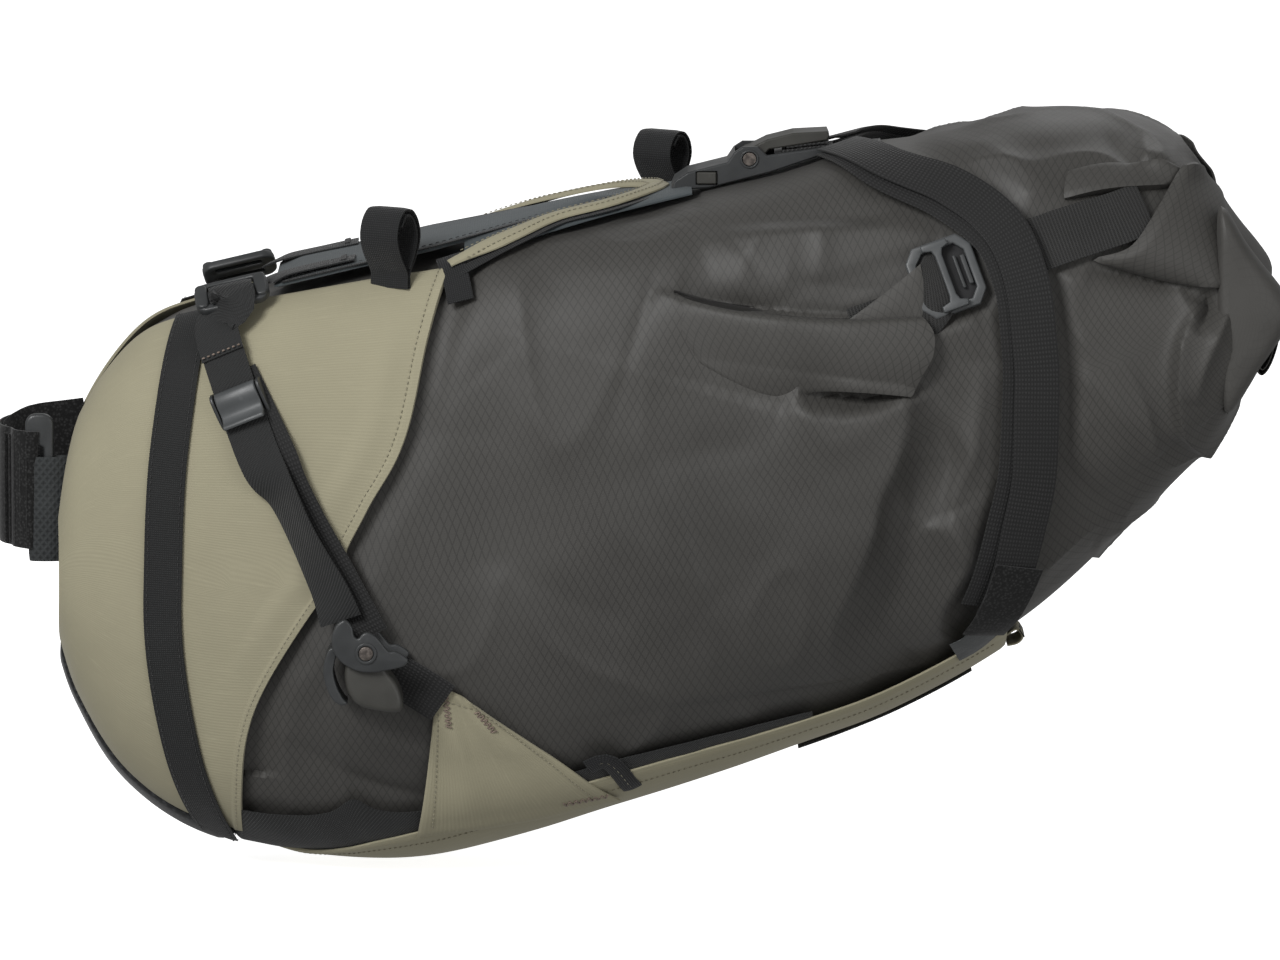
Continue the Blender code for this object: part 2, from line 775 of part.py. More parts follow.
def make_ladder_lock():
    """The two-slot adjuster on each upper front corner."""
    along = (panel_place().to_3x3() @ Vector((1, 0, 0))).normalized()
    place = frame_at(LADDER_LOCK, along, (0, -math.sin(LOCK_LEAN), math.cos(LOCK_LEAN)))
    length, width, thickness = LOCK_SIZE
    outline = rounded_rectangle(length, width, 3)
    lock = plate("ladder_lock_near", outline, thickness, "plastic", place, 0.6)
    for shift in (-LOCK_SLOT_SHIFT, LOCK_SLOT_SHIFT):
        spot = place @ Matrix.Translation((0, shift, 0))
        slot = rounded_rectangle(*LOCK_SLOT, 1.2, 2)
        cut(lock, plate("slot", slot, thickness + 6, "plastic", spot))
    mirrored(lock, "ladder_lock_far")
    joint_axis("ladder_lock_near", LADDER_LOCK, along)


# ---------------------------------------------------------------- lower ears and lever buckles

EAR_FOOT = ((171, -143), (262, -127))
EAR_LIFT = 2.7
EAR_THICKNESS = 1.8
CAM_PIN = (149.5, -93.0, -55.0)


def make_lower_ear():
    """A khaki flap that pulls the bottom panel up to the lever buckle, and its webbing."""
    corners = (*EAR_FOOT, (198, -82), (181, -73))
    ear = sheet("lower_ear_near", side_quad(corners, EAR_LIFT), 10, 6, EAR_THICKNESS, "khaki")
    foot, toe = (on_skin(*locate(*p), EAR_LIFT)[0] for p in EAR_FOOT)
    set_origin(ear, foot)
    mirrored(ear, "lower_ear_far")
    run = ((203, -94, 5.6), (194, -88, 5.6), (184, -80, 5.8), (176, -75, 5.2))
    run += ((166, -70, 2.8), (154, -64, 2.0))
    stops = [on_skin(*locate(x, z), lift) for x, z, lift in run]
    webbing = ribbon("ear_webbing_near", stops, SIDE_STRAP_WIDTH)
    set_origin(webbing, foot)
    mirrored(webbing, "ear_webbing_far")
    joint_axis("ear_near", foot, toe - foot)


def at_pin(outline, pin):
    """A side-view outline about a pin, moved to its place."""
    return [(pin[0] + x, pin[2] + z) for x, z in outline]


def make_cam_buckle():
    """The lever buckle at the foot of the side strap: cheeks, pin and lever, pin across the bag."""
    x, y, z = CAM_PIN
    cheek = (
        (-16, 9),
        (-15, 2),
        (-11, -4.5),
        (-4, -8),
        (8, -9),
        (18, -7),
        (19, -3),
        (10.5, 2),
        (4, 8),
        (-6, 10.5),
        (-11, 14.5),
    )
    body = side_plate("cam_body_near", at_pin(cheek, CAM_PIN), BUCKLE_WIDTH, y, "plastic", 0.7)
    inner = BUCKLE_WIDTH - 5.6
    cut(body, block("pocket", (40, inner, 40), (x - 9.5 + 20, y, z), "plastic", bevel=0))
    cut(body, cylinder("hole", PIN_RADIUS + PIN_CLEARANCE, 60, CAM_PIN, "plastic"))
    hub = arc_points((0, 0), 5.6, 10, 200, 8)
    leaf = arc_points((4.5, -16.5), 9.5, 215, 365, 9)
    lever = side_plate(
        "cam_lever_near", at_pin([*hub, *leaf], CAM_PIN), inner - 0.8, y, "lever_plastic", 0.7
    )
    cut(lever, cylinder("hole", PIN_RADIUS + PIN_CLEARANCE, 60, CAM_PIN, "plastic"))
    set_origin(lever, CAM_PIN)
    pin = cylinder("cam_pin_near", PIN_RADIUS, BUCKLE_WIDTH + 1.6, CAM_PIN, "steel")
    for piece in (body, lever, pin):
        mirrored(piece, piece.name.replace("near", "far"))
    joint_axis("cam_lever_near", CAM_PIN, (0, -1, 0))


# ---------------------------------------------------------------- top buckle and rear straps

TOP_PIN = (322.5, 0.0, 158.5)
TOP_WIDTH = 28
BUTTON = (-19.5, -8.6)
BUTTON_SIZE = (9.0, 5.0, 5.4)
BUTTON_PROUD = 1.6


def make_top_buckle():
    """The lever buckle on top of the bag, its pin across the bag and its button on the near face."""
    x, _, z = TOP_PIN
    base_outline = (
        (-36, -14.6),
        (-34, -10),
        (-28, -6),
        (-10, -1.5),
        (-7, 3),
        (-3, 5.6),
        (4, 5.6),
        (8, 1.6),
        (36, 5.6),
        (36, 2.8),
        (10, -6),
        (0, -8.6),
        (-18, -13.2),
    )
    base = side_plate("top_buckle_base", at_pin(base_outline, TOP_PIN), TOP_WIDTH, 0, "plastic", 0.6)
    inner = TOP_WIDTH - 5.6
    cut(base, block("pocket", (18, inner, 20), (x + 2.5, 0, z + 4.4), "plastic", bevel=0))
    cut(base, cylinder("hole", PIN_RADIUS + PIN_CLEARANCE, 60, TOP_PIN, "plastic"))
    button_x, button_z = x + BUTTON[0], z + BUTTON[1]
    length, depth, height = BUTTON_SIZE
    well = (length + 2 * GAP, 2 * (depth + 1.8 - BUTTON_PROUD), height + 2 * GAP)
    cut(base, block("well", well, (button_x, -TOP_WIDTH / 2, button_z), "plastic", bevel=0))
    button_y = -TOP_WIDTH / 2 - BUTTON_PROUD + depth / 2
    button = block(
        "top_buckle_button", BUTTON_SIZE, (button_x, button_y, button_z), "lever_plastic", bevel=0.5
    )
    joint_axis("top_button", button.location / MM, (0, 1, 0), slides=True)
    hub = arc_points((0, 0), 4.6, 90, 320, 9)
    blade = ((9, 4.0), (35.5, 8.2), (36.5, 10), (35.5, 12.4), (20, 11.6), (8, 8.6))
    lever = side_plate(
        "top_buckle_lever", at_pin([*hub, *blade], TOP_PIN), inner - 0.8, 0, "lever_plastic", 0.6
    )
    cut(lever, cylinder("hole", PIN_RADIUS + PIN_CLEARANCE, 60, TOP_PIN, "plastic"))
    set_origin(lever, TOP_PIN)
    cylinder("top_buckle_pin", PIN_RADIUS, TOP_WIDTH + 1.2, TOP_PIN, "steel")
    joint_axis("top_lever", TOP_PIN, (0, -1, 0))


REAR_STRAP_START = (7.56, 3.4)


def make_rear_straps():
    """Two layers of webbing from the top buckle round the bag's side to the bottom panel."""
    outer = ((386, 154), (414, 147), (436, 133), (448, 112), (453, 86), (455, 58), (453, 26))
    outer += ((447, 3), (438, -22), (430, -37))
    inner = ((382, 151), (407, 141), (428, 125), (440, 107), (446, 86), (448, 58), (446, 26))
    inner += ((440, 3), (431, -19), (424, -34))
    for name, side_points, lift in (
        ("rear_strap_near", outer, REAR_STRAP_LIFT),
        ("rear_strap_inner_near", inner, REAR_INNER_LIFT),
    ):
        places = [REAR_STRAP_START, *located(side_points)]
        strap = ribbon(name, skin_stops(places, lift, 2), REAR_STRAP_WIDTH)
        mirrored(strap, name.replace("near", "far"))


# ---------------------------------------------------------------- seatpost strap

STRAP_Z = 1.0
RING = (13.0, 72.0, 4.4)
RING_Y = -23.0
RING_X = -1.0
RING_BAR = 4.4
RING_RISE = 6.0
TAIL_HINGE = (RING_X - RING_BAR, RING_Y, STRAP_Z)


def upright_band(name, path, thickness, material):
    """A band of the seatpost strap's height along a path in plan."""

    def surface(u, v):
        x, y = path[round(u * (len(path) - 1))]
        return Vector((x, y, STRAP_Z + SEAT_STRAP_HEIGHT * (v - 0.5)))

    return sheet(name, surface, len(path) - 1, 1, thickness, material)


def make_seatpost_strap():
    """The strap round the seatpost: anchor and ring on the near side, hook-and-loop strap."""
    upright_band("seatpost_anchor", ((20, -18.5), (14, -20.5), (8.5, -22)), 2.0, "rubber")
    inner = [(20, 18), (10, 17.8), *arc_points((0, 0), SEATPOST_RADIUS + 2.2, 90, 236, 14)]
    upright_band("seatpost_strap", inner, 1.8, "webbing")
    outer = arc_points((0, 0), SEATPOST_RADIUS + 5.0, 100, 240, 14)
    tail = upright_band("seatpost_strap_tail", outer, 1.8, "webbing")
    set_origin(tail, TAIL_HINGE)
    outline = [(RING_X + x, STRAP_Z + RING_RISE + z) for x, z in rounded_rectangle(RING[0], RING[1], 5)]
    ring = side_plate("seatpost_ring", outline, RING[2], RING_Y, "plastic", 0.7)
    slot = rounded_rectangle(3.8, SEAT_STRAP_HEIGHT + 2, 1.5, 2)
    slot = [(RING_X + x, STRAP_Z + z) for x, z in slot]
    cut(ring, side_plate("slot", slot, 20, RING_Y, "plastic"))
    ring_hinge = (RING_X + RING_BAR, RING_Y, STRAP_Z)
    set_origin(ring, ring_hinge)
    joint_axis("seat_ring", ring_hinge, (0, 0, 1))
    joint_axis("seat_tail", TAIL_HINGE, (0, 0, 1))


def build():
    make_dry_bag()
    make_roll()
    make_roll_end()
    make_roll_webbing()
    make_hook_buckle()
    make_wing()
    make_nose()
    make_top_panel()
    make_top_trim()
    make_bottom()
    make_band()
    make_top_webbing()
    make_loops()
    make_side_strap()
    make_strap_keeper()
    make_ladder_lock()
    make_lower_ear()
    make_cam_buckle()
    make_top_buckle()
    make_rear_straps()
    make_seatpost_strap()


clear_scene()
PARTS = new_collection("saddle_bag")
GUIDES = new_collection("guides")
MATERIALS = make_materials()
build()
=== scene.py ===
"""Looks of the harness saddle bag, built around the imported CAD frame.

Frame as in the CAD: metres, +X to the rear, -Y to the near side, +Z up. Lengths below are in
millimetres unless a name says otherwise.
"""
import json
import math

import bmesh
import bpy
import numpy as np
from mathutils import Matrix, Vector, noise

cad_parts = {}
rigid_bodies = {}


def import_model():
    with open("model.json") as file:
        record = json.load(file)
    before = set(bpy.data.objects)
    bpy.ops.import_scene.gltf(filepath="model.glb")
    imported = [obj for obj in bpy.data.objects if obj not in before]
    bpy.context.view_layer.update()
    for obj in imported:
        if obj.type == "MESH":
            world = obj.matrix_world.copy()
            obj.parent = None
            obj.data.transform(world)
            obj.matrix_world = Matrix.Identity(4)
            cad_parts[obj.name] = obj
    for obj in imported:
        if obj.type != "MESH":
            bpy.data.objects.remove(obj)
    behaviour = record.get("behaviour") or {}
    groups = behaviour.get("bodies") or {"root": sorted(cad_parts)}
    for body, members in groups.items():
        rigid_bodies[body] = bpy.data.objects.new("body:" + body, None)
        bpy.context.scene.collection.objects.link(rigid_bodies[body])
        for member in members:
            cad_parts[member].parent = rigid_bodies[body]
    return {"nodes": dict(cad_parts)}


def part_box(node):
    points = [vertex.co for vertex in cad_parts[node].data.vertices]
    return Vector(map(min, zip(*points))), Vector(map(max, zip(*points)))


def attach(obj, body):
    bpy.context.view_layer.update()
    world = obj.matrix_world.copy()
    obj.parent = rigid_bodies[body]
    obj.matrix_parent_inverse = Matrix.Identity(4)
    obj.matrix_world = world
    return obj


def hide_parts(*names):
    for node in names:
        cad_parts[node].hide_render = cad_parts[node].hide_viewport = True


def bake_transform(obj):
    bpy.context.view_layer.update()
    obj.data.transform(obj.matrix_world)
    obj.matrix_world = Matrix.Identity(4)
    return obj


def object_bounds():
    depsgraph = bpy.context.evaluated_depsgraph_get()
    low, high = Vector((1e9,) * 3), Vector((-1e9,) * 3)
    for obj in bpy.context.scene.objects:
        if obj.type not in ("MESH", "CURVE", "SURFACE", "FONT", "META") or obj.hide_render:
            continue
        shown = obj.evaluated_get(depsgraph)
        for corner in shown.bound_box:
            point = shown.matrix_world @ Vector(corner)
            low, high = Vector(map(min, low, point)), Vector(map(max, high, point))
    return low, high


MM = 0.001
SPLINE_STEPS = 24
STITCH_LIFT = 0.1
# Edges sharper than these many degrees are shaded sharp.
CLOTH_CREASE = 50
PLASTIC_CREASE = 35

for leftover in list(bpy.data.objects):
    bpy.data.objects.remove(leftover, do_unlink=True)
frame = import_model()
CAD_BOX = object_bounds()

# ---------------------------------------------------------------- the bag's skin, as in the CAD

STATIONS = (
    ((10, 4), (10, -62), 31, 4.0),
    ((20, 42), (19, -90), 41, 4.0),
    ((45, 77), (40, -124), 53, 3.6),
    ((75, 91), (73, -147), 62, 3.6),
    ((120, 103), (118, -157), 72, 4.0),
    ((177, 117), (177, -158), 80, 4.0),
    ((250, 134), (250, -138), 86, 4.0),
    ((325, 147), (322, -114), 90, 3.2),
    ((395, 165), (390, -88), 91, 2.8),
    ((464, 180), (450, -52), 90, 2.6),
    ((515, 166), (500, -5), 88, 2.6),
    ((546, 122), (533, 32), 86, 3.0),
    ((553, 106), (549, 62), 82, 3.0),
)
ROWS = np.array([[*top, *bottom, width, square] for top, bottom, width, square in STATIONS], float)
LOWER_SQUARENESS = 2.4
VIEW_TILT = math.tan(math.radians(8))


def smooth_at(points, t):
    """The smooth curve through a list of points, at fractional places t in the list."""
    last = len(points) - 1
    i = np.clip(np.floor(t).astype(int), 0, last - 1)
    u = (t - i)[..., None]
    before, here = points[np.maximum(i - 1, 0)], points[i]
    there, after = points[i + 1], points[np.minimum(i + 2, last)]
    return (
        (2 * u**3 - 3 * u**2 + 1) * here
        + (u**3 - 2 * u**2 + u) * (there - before) / 2
        + (3 * u**2 - 2 * u**3) * there
        + (u**3 - u**2) * (after - here) / 2
    )


def station(t):
    """Top, bottom, half width and upper squareness at stations t (an array)."""
    value = smooth_at(ROWS, np.asarray(t, float))
    return value[..., 0:2], value[..., 2:4], value[..., 4], value[..., 5]


def skin_point(t, phi):
    """The skin at stations t and angles phi in degrees: 0 top, 90 near side, 180 bottom."""
    t, phi = np.broadcast_arrays(np.asarray(t, float), np.asarray(phi, float))
    top, bottom, width, square = station(t)
    c, s = np.cos(np.radians(phi)), np.sin(np.radians(phi))
    power = 2 / np.where(c > 0, square, LOWER_SQUARENESS)
    lean = (np.sign(c) * np.abs(c) ** power)[..., None]
    side = (top + bottom) / 2 + (top - bottom) / 2 * lean
    y = -width * np.sign(s) * np.abs(s) ** power
    return np.stack([side[..., 0], y, side[..., 1]], -1)


def unit(v):
    v = np.asarray(v, float)
    return v / np.maximum(np.linalg.norm(v, axis=-1, keepdims=True), 1e-9)


def skin_normal(t, phi):
    step_t, step_phi = 0.02, 1.5
    t, phi = np.asarray(t, float), np.asarray(phi, float)
    along = skin_point(t + step_t, phi) - skin_point(t - step_t, phi)
    around = skin_point(t, phi + step_phi) - skin_point(t, phi - step_phi)
    return unit(np.cross(around, along))


def on_skin(t, phi, lift=0.0):
    """Skin points moved out by lift, and the normals there."""
    normal = skin_normal(t, phi)
    return skin_point(t, phi) + normal * np.asarray(lift)[..., None], normal


def locate(x, z):
    """Station and angle of the near-side skin points whose side view is (x, z)."""
    x, z = np.broadcast_arrays(np.asarray(x, float), np.asarray(z, float))
    point = np.stack([x, z], -1)
    low, high = np.zeros(x.shape), np.full(x.shape, len(ROWS) - 1.0)
    for _ in range(36):
        t = (low + high) / 2
        top, bottom, _, _ = station(t)
        chord, reach = top - bottom, point - bottom
        beyond = chord[..., 1] * reach[..., 0] - chord[..., 0] * reach[..., 1] > 0
        low, high = np.where(beyond, t, low), np.where(beyond, high, t)
    top, bottom, _, square = station(t)
    half = (top - bottom) / 2
    share = ((point - (top + bottom) / 2) * half).sum(-1) / (half * half).sum(-1)
    share = np.clip(share, -1, 1)
    power = np.where(share > 0, square, LOWER_SQUARENESS) / 2
    return t, np.degrees(np.arccos(np.sign(share) * np.abs(share) ** power))


def seen(x, z):
    """Station and angle of the near-side skin points seen at (x, z) from 8 degrees above."""
    x, z = np.asarray(x, float), np.asarray(z, float)
    rise = np.zeros(np.broadcast(x, z).shape)
    for _ in range(12):
        t, phi = locate(x, z + rise)
        rise = (rise + VIEW_TILT * np.abs(skin_point(t, phi)[..., 1])) / 2
    return locate(x, z + rise)


# ---------------------------------------------------------------- small maths


def smoothstep(x):
    x = np.clip(x, 0, 1)
    return x * x * (3 - 2 * x)


def spline(points, count):
    """count points on a smooth curve through points, evenly spaced along it."""
    points = np.asarray(points, float)
    last = len(points) - 1
    curve = smooth_at(points, np.linspace(0, last, last * SPLINE_STEPS + 1))
    run = np.concatenate([[0], np.cumsum(np.linalg.norm(np.diff(curve, axis=0), axis=1))])
    wanted = np.linspace(0, run[-1], count)
    return np.stack([np.interp(wanted, run, curve[:, k]) for k in range(curve.shape[1])], -1)


def length_of(points):
    return float(np.linalg.norm(np.diff(points, axis=0), axis=1).sum())


def coons(low, high, left, right, across, along):
    """A grid (across by along) filled between four boundary curves."""
    low, high = spline(low, across), spline(high, across)
    left, right = spline(left, along), spline(right, along)
    u = np.linspace(0, 1, across)[:, None, None]
    v = np.linspace(0, 1, along)[None, :, None]
    ruled = low[:, None] * (1 - v) + high[:, None] * v + left[None] * (1 - u) + right[None] * u
    corners = (low[0] * (1 - u) + low[-1] * u) * (1 - v) + (high[0] * (1 - u) + high[-1] * u) * v
    return ruled - corners


def wobble(points, size, seed=0.0):
    """Smooth noise in -1 to 1 at points, with features about size mm across."""
    flat = points.reshape(-1, 3) / size + seed
    return np.array([noise.noise(p) for p in flat.tolist()]).reshape(points.shape[:-1])


def grid_normals(points):
    """The normals of a surface given as a grid of points."""
    along = np.gradient(points, axis=0)
    around = np.gradient(points, axis=1)
    return unit(np.cross(around, along))


def grid_lengths(points):
    """Arc lengths over a grid, one row of UVs in millimetres per point."""
    across = np.linalg.norm(np.diff(points, axis=1), axis=2).mean(0)
    along = np.linalg.norm(np.diff(points, axis=0), axis=2).mean(1)
    v = np.concatenate([[0], np.cumsum(across)])
    u = np.concatenate([[0], np.cumsum(along)])
    return np.stack(np.meshgrid(u, v, indexing="ij"), -1)


# ---------------------------------------------------------------- mesh builders


def make_object(name, verts, faces, uv, material, body, welded=False, **kw):
    """A smooth piece from points in mm, with its cloth coordinates (mm) as its UV map."""
    mesh = bpy.data.meshes.new(name)
    mesh.from_pydata((np.asarray(verts) * MM).tolist(), [], faces)
    layer = mesh.uv_layers.new(name="cloth")
    index = np.zeros(len(mesh.loops), int)
    mesh.loops.foreach_get("vertex_index", index)
    layer.data.foreach_set("uv", np.asarray(uv, float)[index].ravel())
    mesh.shade_smooth()
    mesh.set_sharp_from_angle(angle=math.radians(CLOTH_CREASE))
    if welded:
        weld(mesh)
    return add_piece(name, mesh, material, body, **kw)


class Bend:
    """Stands for a body where a soft piece crosses a joint: it holds the fixed and moving bodies and
    the bend's ends, and the piece is left in place, joined to neither body.
    """

    def __init__(self, fixed, moving, start, end):
        self.fixed, self.moving = fixed, moving
        self.start, self.end = tuple(start), tuple(end)


def join(name, mesh, body, replaces):
    """Joins a mesh to its body and the CAD nodes that it stands for."""
    obj = bpy.data.objects.new(name, mesh)
    bpy.context.scene.collection.objects.link(obj)
    if isinstance(body, Bend):
        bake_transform(obj)
    else:
        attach(obj, body)
    if replaces:
        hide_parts(*replaces)
    return obj


def far_name(name):
    return name.replace("_near", "_far")


def add_piece(name, mesh, material, body, replaces=(), paired=True):
    """Adds a piece and, where its name ends in _near, its mirror image on the far side."""
    mesh.materials.clear()
    mesh.materials.append(LOOKS[material])
    piece = join(name, mesh, body, replaces)
    if paired and name.endswith("_near"):
        far = mesh.copy()
        far.transform(Matrix.Diagonal((1, -1, 1, 1)))
        far.flip_normals()
        join(far_name(name), far, far_name(body), [far_name(node) for node in replaces])
    return piece


def declare_sheet(piece):
    """Loops over a sheet and its far copy and does nothing with them."""
    for name in dict.fromkeys((piece.name, far_name(piece.name))):
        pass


def grid_faces(m, n, closed=False, flip=False):
    """Quads over an m by n grid of points; closed joins the last column to the first."""
    i, j = np.meshgrid(np.arange(m - 1), np.arange(n if closed else n - 1), indexing="ij")
    a, b = i * n + j, i * n + (j + 1) % n
    faces = np.stack([a, b, b + n, a + n], -1).reshape(-1, 4)
    return faces[:, ::-1] if flip else faces


def shell(name, middle, thickness, material, body, uv=None, rim=0.45, normals=None, **kw):
    """A closed sheet about a grid of points, its rim thinner so that the edge is round."""
    m, n, _ = middle.shape
    normals = grid_normals(middle) if normals is None else normals
    uv = grid_lengths(middle) if uv is None else uv
    half = np.broadcast_to(np.asarray(thickness, float), (m, n)).copy() / 2
    edge = np.zeros((m, n), bool)
    edge[0], edge[-1], edge[:, 0], edge[:, -1] = True, True, True, True
    half[edge] *= rim
    outer = (middle + normals * half[..., None]).reshape(-1, 3)
    inner = (middle - normals * half[..., None]).reshape(-1, 3)
    count = m * n
    loop = [(0, j) for j in range(n)] + [(i, n - 1) for i in range(1, m)]
    loop += [(m - 1, j) for j in range(n - 2, -1, -1)] + [(i, 0) for i in range(m - 2, 0, -1)]
    ring = np.array([i * n + j for i, j in loop])
    nxt = np.roll(ring, -1)
    rim_faces = np.stack([ring, ring + count, nxt + count, nxt], -1)
    faces = np.vstack([grid_faces(m, n), grid_faces(m, n, flip=True) + count, rim_faces])
    both = np.vstack([uv.reshape(-1, 2)] * 2)
    verts = np.vstack([outer, inner])
    return make_object(name, verts, faces.tolist(), both, material, body, **kw)


def ribbon_grid(path, normals, width, step=2.5, across=7, cup=0.0):
    """The middle grid of webbing along path, its normals, and its cloth coordinates."""
    path, normals = np.asarray(path, float), np.asarray(normals, float)
    count = max(4, int(length_of(path) / step))
    both = spline(np.hstack([path, unit(normals) * 10]), count)
    line, up = both[:, :3], unit(both[:, 3:])
    tangent = unit(np.gradient(line, axis=0))
    side = unit(np.cross(tangent, up))
    up = unit(np.cross(side, tangent))
    v = np.linspace(-0.5, 0.5, across)
    bow = cup * (1 - (2 * v) ** 2)
    middle = line[:, None] + side[:, None] * (v * width)[None, :, None]
    middle = middle + up[:, None] * bow[None, :, None]
    run = np.concatenate([[0], np.cumsum(np.linalg.norm(np.diff(line, axis=0), axis=1))])
    uv = np.stack(np.meshgrid(run, (v + 0.5) * width, indexing="ij"), -1)
    return middle, np.broadcast_to(up[:, None], middle.shape), uv


def webbing(name, path, normals, width, material, body, thickness=1.5, cup=0.0, ripple=0.15, **kw):
    """A length of webbing: path and normals in mm, a little uneven as real webbing is."""
    middle, up, uv = ribbon_grid(path, normals, width, cup=cup)
    middle = middle + up * (wobble(middle, 22, len(name)) * ripple)[..., None]
    return shell(name, middle, thickness, material, body, uv=uv, normals=up, **kw)


def skin_path(places, lift, seen_from_side=True):
    """Points and normals on the skin at side-view places, or at (station, angle) ones."""
    places = np.asarray(places, float)
    if seen_from_side:
        t, phi = locate(places[:, 0], places[:, 1])
    else:
        t, phi = places[:, 0], places[:, 1]
    dense = spline(np.stack([t, phi / 20], -1), max(12, 6 * len(places)))
    lift = np.asarray(lift, float)
    if lift.ndim:
        share = np.linspace(0, 1, len(dense))
        lift = np.interp(share, np.linspace(0, 1, len(lift)), lift)
    return on_skin(dense[:, 0], dense[:, 1] * 20, lift)


def capsules(name, starts, ends, radius, material, body, sides=5, **kw):
    """Short rounded rods, such as stitches, as one mesh."""
    verts, faces = [], []
    angles = np.linspace(0, 2 * math.pi, sides, endpoint=False)[:, None]
    for a, b in zip(np.asarray(starts, float), np.asarray(ends, float)):
        axis = unit(b - a)
        helper = np.array([0.0, 0, 1]) if abs(axis[2]) < 0.9 else np.array([1.0, 0, 0])
        p = unit(np.cross(axis, helper))
        q = np.cross(axis, p)
        ring = radius * (p * np.cos(angles) + q * np.sin(angles))
        tip = len(verts)
        low, high, end = tip + 1, tip + 1 + sides, tip + 1 + 2 * sides
        verts += [a, *(a + (b - a) * 0.2 + ring), *(a + (b - a) * 0.8 + ring), b]
        for k in range(sides):
            k2 = (k + 1) % sides
            faces.append([tip, low + k2, low + k])
            faces.append([low + k, low + k2, high + k2, high + k])
            faces.append([high + k, high + k2, end])
    mesh = bpy.data.meshes.new(name)
    mesh.from_pydata([tuple(v * MM) for v in verts], [], faces)
    mesh.shade_smooth()
    return add_piece(name, mesh, material, body, **kw)


def stitch_row(name, path, normals, material, body, pitch, radius, **kw):
    """A row of stitches along a path on a surface."""
    path, normals = np.asarray(path, float), np.asarray(normals, float)
    count = max(2, int(length_of(path) / pitch))
    both = spline(np.hstack([path, unit(normals)]), 2 * count)
    line = both[:, :3] + unit(both[:, 3:]) * STITCH_LIFT
    starts, ends = line[0:-1:2], line[1::2]
    reach = (ends - starts) * 0.15
    return capsules(name, starts - reach, ends + reach, radius, material, body, **kw)


def bartack(name, centre, along, normal, length, width, material, body, pitch=1.1, **kw):
    """A dense zigzag of thread, along one direction on a surface."""
    along = unit(along)
    side = unit(np.cross(normal, along))
    count = int(length / pitch)
    zig = []
    for k in range(count + 1):
        across = width / 2 if k % 2 else -width / 2
        zig.append(centre + along * (k * pitch - length / 2) + side * across + unit(normal) * 0.25)
    return capsules(name, zig[:-1], zig[1:], 0.4, material, body, **kw)


def plate(name, outlines, thickness, place, material, body, bevel=0.8, **kw):
    """A flat outline with holes in the XY plane of place, with rounded rims."""
    curve = bpy.data.curves.new(name + "_outline", "CURVE")
    curve.dimensions = "2D"
    curve.fill_mode = "BOTH"
    curve.extrude = (thickness / 2 - bevel) * MM
    curve.bevel_depth = bevel * MM
    curve.bevel_resolution = 2
    curve.offset = -bevel * MM
    for outline in outlines:
        spline_data = curve.splines.new("POLY")
        spline_data.points.add(len(outline) - 1)
        for point, (x, y) in zip(spline_data.points, outline):
            point.co = (x * MM, y * MM, 0, 1)
        spline_data.use_cyclic_u = True
    guide = bpy.data.objects.new(name + "_outline", curve)
    bpy.context.scene.collection.objects.link(guide)
    bpy.context.view_layer.update()
    evaluated = guide.evaluated_get(bpy.context.evaluated_depsgraph_get())
    mesh = bpy.data.meshes.new_from_object(evaluated)
    bpy.data.objects.remove(guide, do_unlink=True)
    scaled = place.copy()
    scaled.translation = scaled.translation * MM
    mesh.transform(scaled)
    weld(mesh)
    mesh.shade_smooth()
    mesh.set_sharp_from_angle(angle=math.radians(PLASTIC_CREASE))
    return add_piece(name, mesh, material, body, **kw)


def weld(mesh):
    """Joins a mesh's coincident points and turns its faces outwards."""
    bm = bmesh.new()
    bm.from_mesh(mesh)
    bmesh.ops.remove_doubles(bm, verts=bm.verts, dist=0.000005)
    bmesh.ops.recalc_face_normals(bm, faces=bm.faces)
    bm.to_mesh(mesh)
    bm.free()


def loft(name, rings, material, body, uv, **kw):
    """A skin over rings of points (an m by n grid), its ends closed."""
    m, n, _ = rings.shape
    faces = grid_faces(m, n, closed=True).tolist()
    faces.append(list(range(n))[::-1])
    faces.append(list(range((m - 1) * n, m * n)))
    return make_object(name, rings.reshape(-1, 3), faces, uv, material, body, welded=True, **kw)


def arc(centre, radius, start, end, count):
    angles = np.radians(np.linspace(start, end, count))
    return np.stack([centre[0] + radius * np.cos(angles), centre[1] + radius * np.sin(angles)], -1)


def rounded_rectangle(width, height, radius, steps=5):
    x, y = width / 2 - radius, height / 2 - radius
    corners = ((x, y, 0), (-x, y, 90), (-x, -y, 180), (x, -y, 270))
    return np.vstack([arc((cx, cy), radius, start, start + 90, steps) for cx, cy, start in corners])


def smooth_outline(points, count=64):
    """A closed smooth curve through points."""
    points = np.asarray(points, float)
    wrapped = np.vstack([points[-2:], points, points[:3]])
    fine = spline(wrapped, 40 * len(wrapped))
    start = np.linalg.norm(fine - points[0], axis=1)[: len(fine) // 2].argmin()
    end = len(fine) // 2 + np.linalg.norm(fine - points[0], axis=1)[len(fine) // 2 :].argmin()
    return spline(fine[start:end:4], count)


def frame_at(origin, x_axis, z_axis):
    """A matrix with its X along x_axis and its Z as near z_axis as can be."""
    x = Vector(x_axis).normalized()
    y = Vector(z_axis).cross(x).normalized()
    z = x.cross(y)
    matrix = Matrix((x, y, z)).transposed().to_4x4()
    matrix.translation = Vector(origin)
    return matrix


def point_on(place, x, y, z):
    return np.array(place @ Vector((x, y, z)))


def heading(place, x, y, z):
    """A direction in a place's own axes, turned to the frame's."""
    return np.array(place.to_3x3() @ Vector((x, y, z)))


# Turns the XY plane upright, to the side view.
SIDE_PLANE = Matrix(((1, 0, 0, 0), (0, 0, -1, 0), (0, 1, 0, 0), (0, 0, 0, 1)))


def side_place(x, y, z):
    """A place for plates whose outline is drawn in the side view."""
    return Matrix.Translation((x, y, z)) @ SIDE_PLANE


